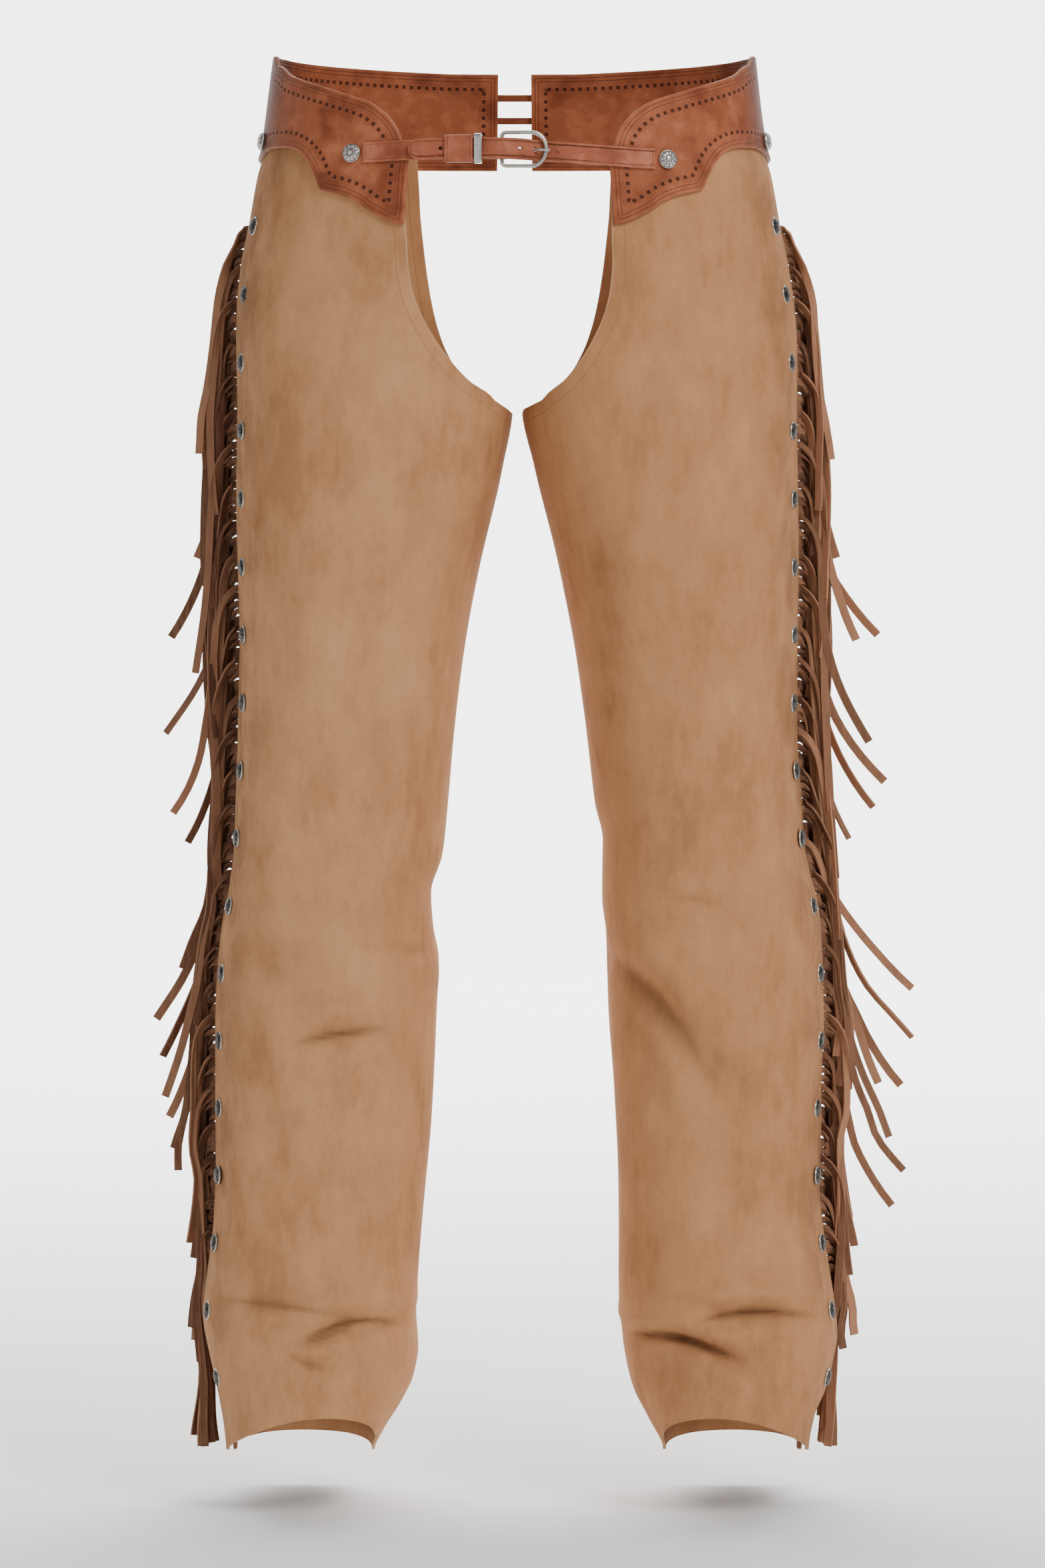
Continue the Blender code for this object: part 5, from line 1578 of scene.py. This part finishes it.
def strap(name, path, width, thickness, holes, node):
    """Strap along (x, out) points, with (distance along, half size) round holes."""
    path = np.asarray(path, float)
    lengths = run_lengths(path)
    along = strap_marks(lengths[-1], holes)
    x = np.interp(along, lengths, path[:, 0])
    out = np.interp(along, lengths, path[:, 1])
    half_width = np.interp(along, lengths, width) / 2
    run = unit(np.stack([np.gradient(x), np.gradient(out)], axis=1))
    lift = np.stack([-run[:, 1], run[:, 0]], axis=1) * thickness / 2
    size = max([half for _, half in holes], default=1.3)
    full = float(half_width.max())
    rim_lines = full - RIM_LINES
    lines = np.concatenate([-rim_lines, size * HOLE_LINES, rim_lines[::-1]])
    across = lines[None] * (half_width / full)[:, None]
    across, shift, keep = punched(along, lines, across, holes, size)
    end = np.minimum(along, along[-1] - along)[:, None]
    edge = np.minimum(half_width[:, None] - np.abs(across), end)
    x = x[:, None] + shift * run[:, :1]
    out = out[:, None] + shift * run[:, 1:]
    roll = 0.45 * (1 - np.clip(edge / 1.0, 0, 1)) ** 2
    scale = 1 - roll / (thickness / 2)
    outer = strap_point(x + lift[:, :1] * scale, across, out + lift[:, 1:] * scale)
    inner = strap_point(x - lift[:, :1] * scale, across, out - lift[:, 1:] * scale)
    mesh = wall(name, outer, inner, {"edge": edge}, keep)
    piece(name, mesh, strap_leather, [node], 50)
    print(name, "length", round(float(lengths[-1])), "faces", len(mesh.polygons))


print("lines of points across a strap:", 2 * len(RIM_LINES) + len(HOLE_LINES))

# %% [markdown]
# The tables say how far each strap lies out from the body along its run: the billet climbs over
# the buckle's heel and comes down on the chape. The billet's tip is round. Its holes are given
# by x, and the distance along its path is read for each.

# %% Straps
WIRE, HEEL_X, HEEL_OUT = 1.35, -8.4, 7.0
# Place and half size of each hole; the last is the tongue's
HOLES = ((-48.8, 1.35), (3.8, 1.35), (29.2, 1.35), (14.2, 2.4))
BILLET_END, TIP_LENGTH, BILLET_WIDTH, BILLET_THICKNESS = -70.6, 8.0, 14.2, 2.2
CHAPE_WIDTH, CHAPE_THICKNESS = 13.6, 1.8

CHAPE_OUT = Table(
    "x out",
    (-101, 4.7),
    (-62, 4.7),
    (-46, 5.0),
    (-32, 6.3),
    (-22, 8.0),
    (-14, 9.3),
    (-8.4, 9.6),
)

BILLET_OUT = Table(
    "x out width",
    (-70.5, 7.1, 5.5),
    (-69.4, 7.1, 10.0),
    (-67, 7.1, 13.2),
    (-62, 7.1, 14.2),
    (-46, 7.6, 14.2),
    (-32, 8.9, 14.2),
    (-22, 10.5, 14.2),
    (-14, 11.8, 14.2),
    (-8.4, 12.1, 14.2),
    (-2, 11.2, 14.2),
    (6, 8.9, 14.2),
    (13, 6.0, 14.0),
    (18, 4.8, 13.9),
    (30, 4.6, 13.6),
    (60, 4.8, 13.4),
    (94, 4.9, 13.2),
)

billet_x = np.linspace(94, -70.5, 330)
billet_path = np.stack([billet_x, BILLET_OUT.at("out", billet_x)], axis=1)
billet_width = BILLET_OUT.at("width", billet_x)
tip = np.clip((billet_x - BILLET_END) / TIP_LENGTH, 0, 1)
tip_width = BILLET_WIDTH * np.sqrt(np.clip(1 - (1 - tip) ** 2, 0.02, 1))
billet_width = np.minimum(billet_width, tip_width)
reach = run_lengths(billet_path)
holes = [(float(np.interp(-x, -billet_x, reach)), half) for x, half in HOLES]
strap("billet", billet_path, billet_width, BILLET_THICKNESS, holes, "billet_strap")
print("holes along the billet:", [round(mark) for mark, half in holes])

chape_x = np.linspace(-101, -14, 120)
radius = WIRE + GAP + CHAPE_THICKNESS / 2
turn = np.radians(np.linspace(90, -90, 40))
chape_path = np.concatenate([
    np.stack([chape_x, CHAPE_OUT.at("out", chape_x)], axis=1),
    np.stack([HEEL_X + radius * np.cos(turn), HEEL_OUT + radius * np.sin(turn)], axis=1),
    [(-13, HEEL_OUT - radius), (-19, HEEL_OUT - radius)],
])
chape_width = np.full(len(chape_path), CHAPE_WIDTH)
strap("chape", chape_path, chape_width, CHAPE_THICKNESS, [], "chape_strap")

# %% [markdown]
# ## Keepers
#
# The keepers are loops with rounded corners that hold the billet down on the chape: a leather
# one near the billet's tip and a narrow silver one beside the buckle. A loop is a ring of
# points at each of a few places along the straps, with its ends a little rounded.

# %% Keepers
KEEPER_MARKS = np.array([0, 0.03, 0.08, 0.2, 0.4, 0.6, 0.8, 0.92, 0.97, 1])
KEEPER_CORNER, KEEPER_LOWER = 1.1, 3.3


def round_box(half, high, low, radius):
    """Outline of a box with round corners, as points across and out."""
    corners = ((half - radius, high - radius), (-half + radius, high - radius),
               (-half + radius, low + radius), (half - radius, low + radius))
    ring = []
    for number, (across, out) in enumerate(corners):
        for angle in np.radians(np.linspace(0, 90, 6)) + math.radians(90 * number):
            ring.append((across + radius * math.cos(angle), out + radius * math.sin(angle)))
    return np.array(ring)


def keeper(name, span, uppers, half_height, thickness, finish, node):
    """Loop round both straps between two places along them."""
    low, high = span
    marks = low + (high - low) * KEEPER_MARKS
    grids = []
    for spread in (thickness, 0.0):
        grid = []
        for x, upper in zip(marks, np.interp(marks, span, uppers)):
            end = min(x - low, high - x)
            soften = 0.22 * (1 - min(end / 0.6, 1)) ** 2 * (1 if spread else -1)
            ring = round_box(half_height + spread - soften, upper + spread - soften,
                             KEEPER_LOWER - spread + soften, KEEPER_CORNER + spread)
            grid.append(strap_point(np.full(len(ring), x), ring[:, 0], ring[:, 1]))
        grids.append(np.array(grid))
    end = np.minimum(marks - low, high - marks)
    edge = np.repeat(end[:, None], grids[0].shape[1], axis=1)
    mesh = wall(name, *grids, {"edge": edge, "recess": edge * 0.0}, wrap=True)
    piece(name, mesh, finish, [node], 50)
    print(name, "faces", len(mesh.polygons))


keeper("leather_loop", (-46.0, -27.5), (9.4, 11.4), 7.6, 1.6, strap_leather,
       "leather_keeper")
keeper("silver_loop", (-26.6, -21.6), (11.6, 12.6), 8.6, 1.2, silver, "metal_keeper")

# %% [markdown]
# ## Buckle and tongue
#
# The buckle is a D of round wire, and its tongue hooks round the heel bar and comes up through
# the billet to rest on the toe. `wire` sweeps a circle along a path, which can be closed.

# %% Wire


def wire(name, path, radii, closed, node, sides):
    """Round wire along a path of close points."""
    ahead = np.roll(path, -1, axis=0) if closed else np.gradient(path, axis=0)
    run = unit(ahead - np.roll(path, 1, axis=0)) if closed else unit(ahead)
    across = unit(np.cross(run, (0.0, 1.0, 0.0)))
    other = np.cross(run, across)
    angle = np.linspace(0, 2 * np.pi, sides, endpoint=False)[None, :, None]
    spokes = across[:, None] * np.cos(angle) + other[:, None] * np.sin(angle)
    points = path[:, None] + spokes * np.asarray(radii).reshape(-1, 1, 1)
    rows = len(path)
    faces = []
    for i in range(rows if closed else rows - 1):
        n = (i + 1) % rows
        faces += [[i * sides + k, i * sides + (k + 1) % sides, n * sides + (k + 1) % sides,
                   n * sides + k] for k in range(sides)]
    if not closed:
        faces.append(list(range(sides)))
        faces.append([(rows - 1) * sides + k for k in range(sides)])
    mesh = build(name, points.reshape(-1, 3), faces, {"recess": np.zeros(rows * sides)})
    return piece(name, mesh, silver, [node], 60)


print("wire of the buckle:", 2 * WIRE, "mm thick")

# %% [markdown]
# The D is drawn up its heel bar, round a small corner, along the upper side, round the toe and
# back along the mirrored lower side. Its heights are shares of half the buckle's own height.
# The tongue's path is smoothed once more, since it was given by few points.

# %% Buckle and tongue
TOE_X, TOE_START, TOE_OUT = 21.4, 11.5, 8.0
BUCKLE_Z, BUCKLE_HALF_HEIGHT = -5.2, 11.1
PIN_RADIUS = 0.8

bar = [(HEEL_X, h) for h in np.linspace(-0.62, 0.62, 13)]
upper = [(HEEL_X + 0.35, 0.86), (HEEL_X + 1.3, 0.97), (HEEL_X + 3.0, 1.0)]
upper += [(x, 1.0) for x in np.linspace(-3.0, TOE_START, 10)[:-1]]
toe = [(TOE_START + (TOE_X - TOE_START) * math.cos(a), math.sin(a))
       for a in np.linspace(math.pi / 2, -math.pi / 2, 30)]
lower = [(x, -h) for x, h in reversed(upper)]
bow = np.array(bar + upper + toe + lower) * (1, BUCKLE_HALF_HEIGHT)
bow = resample(bow, 0.8, closed=True)
x, height = bow.T
out = HEEL_OUT + (TOE_OUT - HEEL_OUT) * (x - HEEL_X) / (TOE_X - HEEL_X)
wire("buckle_bow", hip_point(x, BUCKLE_Z + height, out, 1), np.full(len(x), WIRE), True,
     "buckle_frame", 20)

radius = WIRE + GAP + PIN_RADIUS
turn = np.radians(np.linspace(-80, -280, 18))
tongue = np.concatenate([
    np.stack([HEEL_X + radius * np.cos(turn), HEEL_OUT + radius * np.sin(turn)], axis=1),
    [(-4.0, 7.0), (3.0, 5.0), (9.2, 3.9), (12.9, 4.8), (15.3, 8.4), (18.4, 10.6), (23.4, 10.6)],
])
tongue = resample(tongue, 1.0)
weights = np.array([1, 2, 3, 2, 1]) / 9
tongue[2:-2] = np.stack([np.convolve(tongue[:, k], weights, "valid") for k in (0, 1)], axis=1)
radii = PIN_RADIUS + 0.1 * ease(6, 2, np.arange(len(tongue))[::-1])
wire("buckle_pin", strap_point(tongue[:, 0], 0.0, tongue[:, 1]), radii, False, "buckle_tongue", 14)
print("buckle wire points:", len(bow), "pin points:", len(tongue))

# %% [markdown]
# ## Back lace
#
# Behind, the yokes do not meet: a flat thong is laced to and fro between three pairs of
# eyelets, so that one pair of chaps fits several waists. It is one ribbon with rounded turns,
# as wide as the solid that it stands for.

# %% Back lace
LACE_HALF, LACE_LEATHER, LACE_BEND = 2.5, 1.6, 2.4
LACE_HOLE_X, LACE_ROWS_Z = 19.0, (41.0, 25.0, 9.0)


def build_lace():
    path = []
    for i, z in enumerate(LACE_ROWS_Z):
        ends = (-LACE_HOLE_X, LACE_HOLE_X) if i % 2 == 0 else (LACE_HOLE_X, -LACE_HOLE_X)
        path += [(end, z) for end in ends]
    rounded_path = [np.array(path[0], float)]
    for a, b, c in zip(path, path[1:], path[2:]):
        a, b, c = (np.array(p, float) for p in (a, b, c))
        start, end = b + unit(a - b) * LACE_BEND, b + unit(c - b) * LACE_BEND
        t = np.linspace(0, 1, 9)[:, None]
        rounded_path += list((1 - t) ** 2 * start + 2 * t * (1 - t) * b + t * t * end)
    rounded_path.append(np.array(path[-1], float))
    line = resample(np.array(rounded_path), 0.9)
    run = unit(np.gradient(line, axis=0))
    beside = np.stack([-run[:, 1], run[:, 0]], axis=1)
    across = crowded(2 * LACE_HALF - 0.3, 0.8, 0.2) - LACE_HALF + 0.15
    points = line[:, None] + beside[:, None] * across[None, :, None]
    edge = np.broadcast_to(LACE_HALF - np.abs(across), points.shape[:2])
    roll = 0.4 * (1 - np.clip(edge / 0.9, 0, 1)) ** 2
    base = GAP + YOKE_LEATHER + SEAM_GAP
    outer = hip_point(points[..., 0], points[..., 1], base + LACE_LEATHER - roll, -1)
    inner = hip_point(points[..., 0], points[..., 1], base + roll, -1)
    mesh = wall("lace", outer, inner, {"edge": edge + 2.0})
    return piece("lace", mesh, lace_leather, ["back_lace"], 50)


lace = build_lace()
print("lace faces:", len(lace.data.polygons))

# %% [markdown]
# ## Sheets
#
# The legs and yokes are sheets of leather that were cut flat. The flat area of each, measured
# on the finished panel, is printed here.

# %% Sheets


def flat_area(thing):
    """Flat area of a wall in square metres, taken as half of all its faces."""
    return sum(face.area for face in thing.data.polygons) / 2


for side, word in WORDS.items():
    print(word, "leg", round(flat_area(legs[side]), 4), "yoke", round(flat_area(waist[side]), 5))

# %% [markdown]
# ## Floor finish
#
# The floor is a plain pale matt board.

# %% Floor finish


def pale_board():
    it = Finish("pale_board")
    cloud = it.noise(600, 2, 0.5)
    colour = it.mix(cloud, rgb(232, 232, 231), rgb(240, 240, 239))
    return it.finish(it.noise(1.5, 2, 0.6) * 0.02, 0.2, Base_Color=colour, Roughness=0.85,
                     Specular_IOR_Level=0.2)


floor.data.materials.append(pale_board())
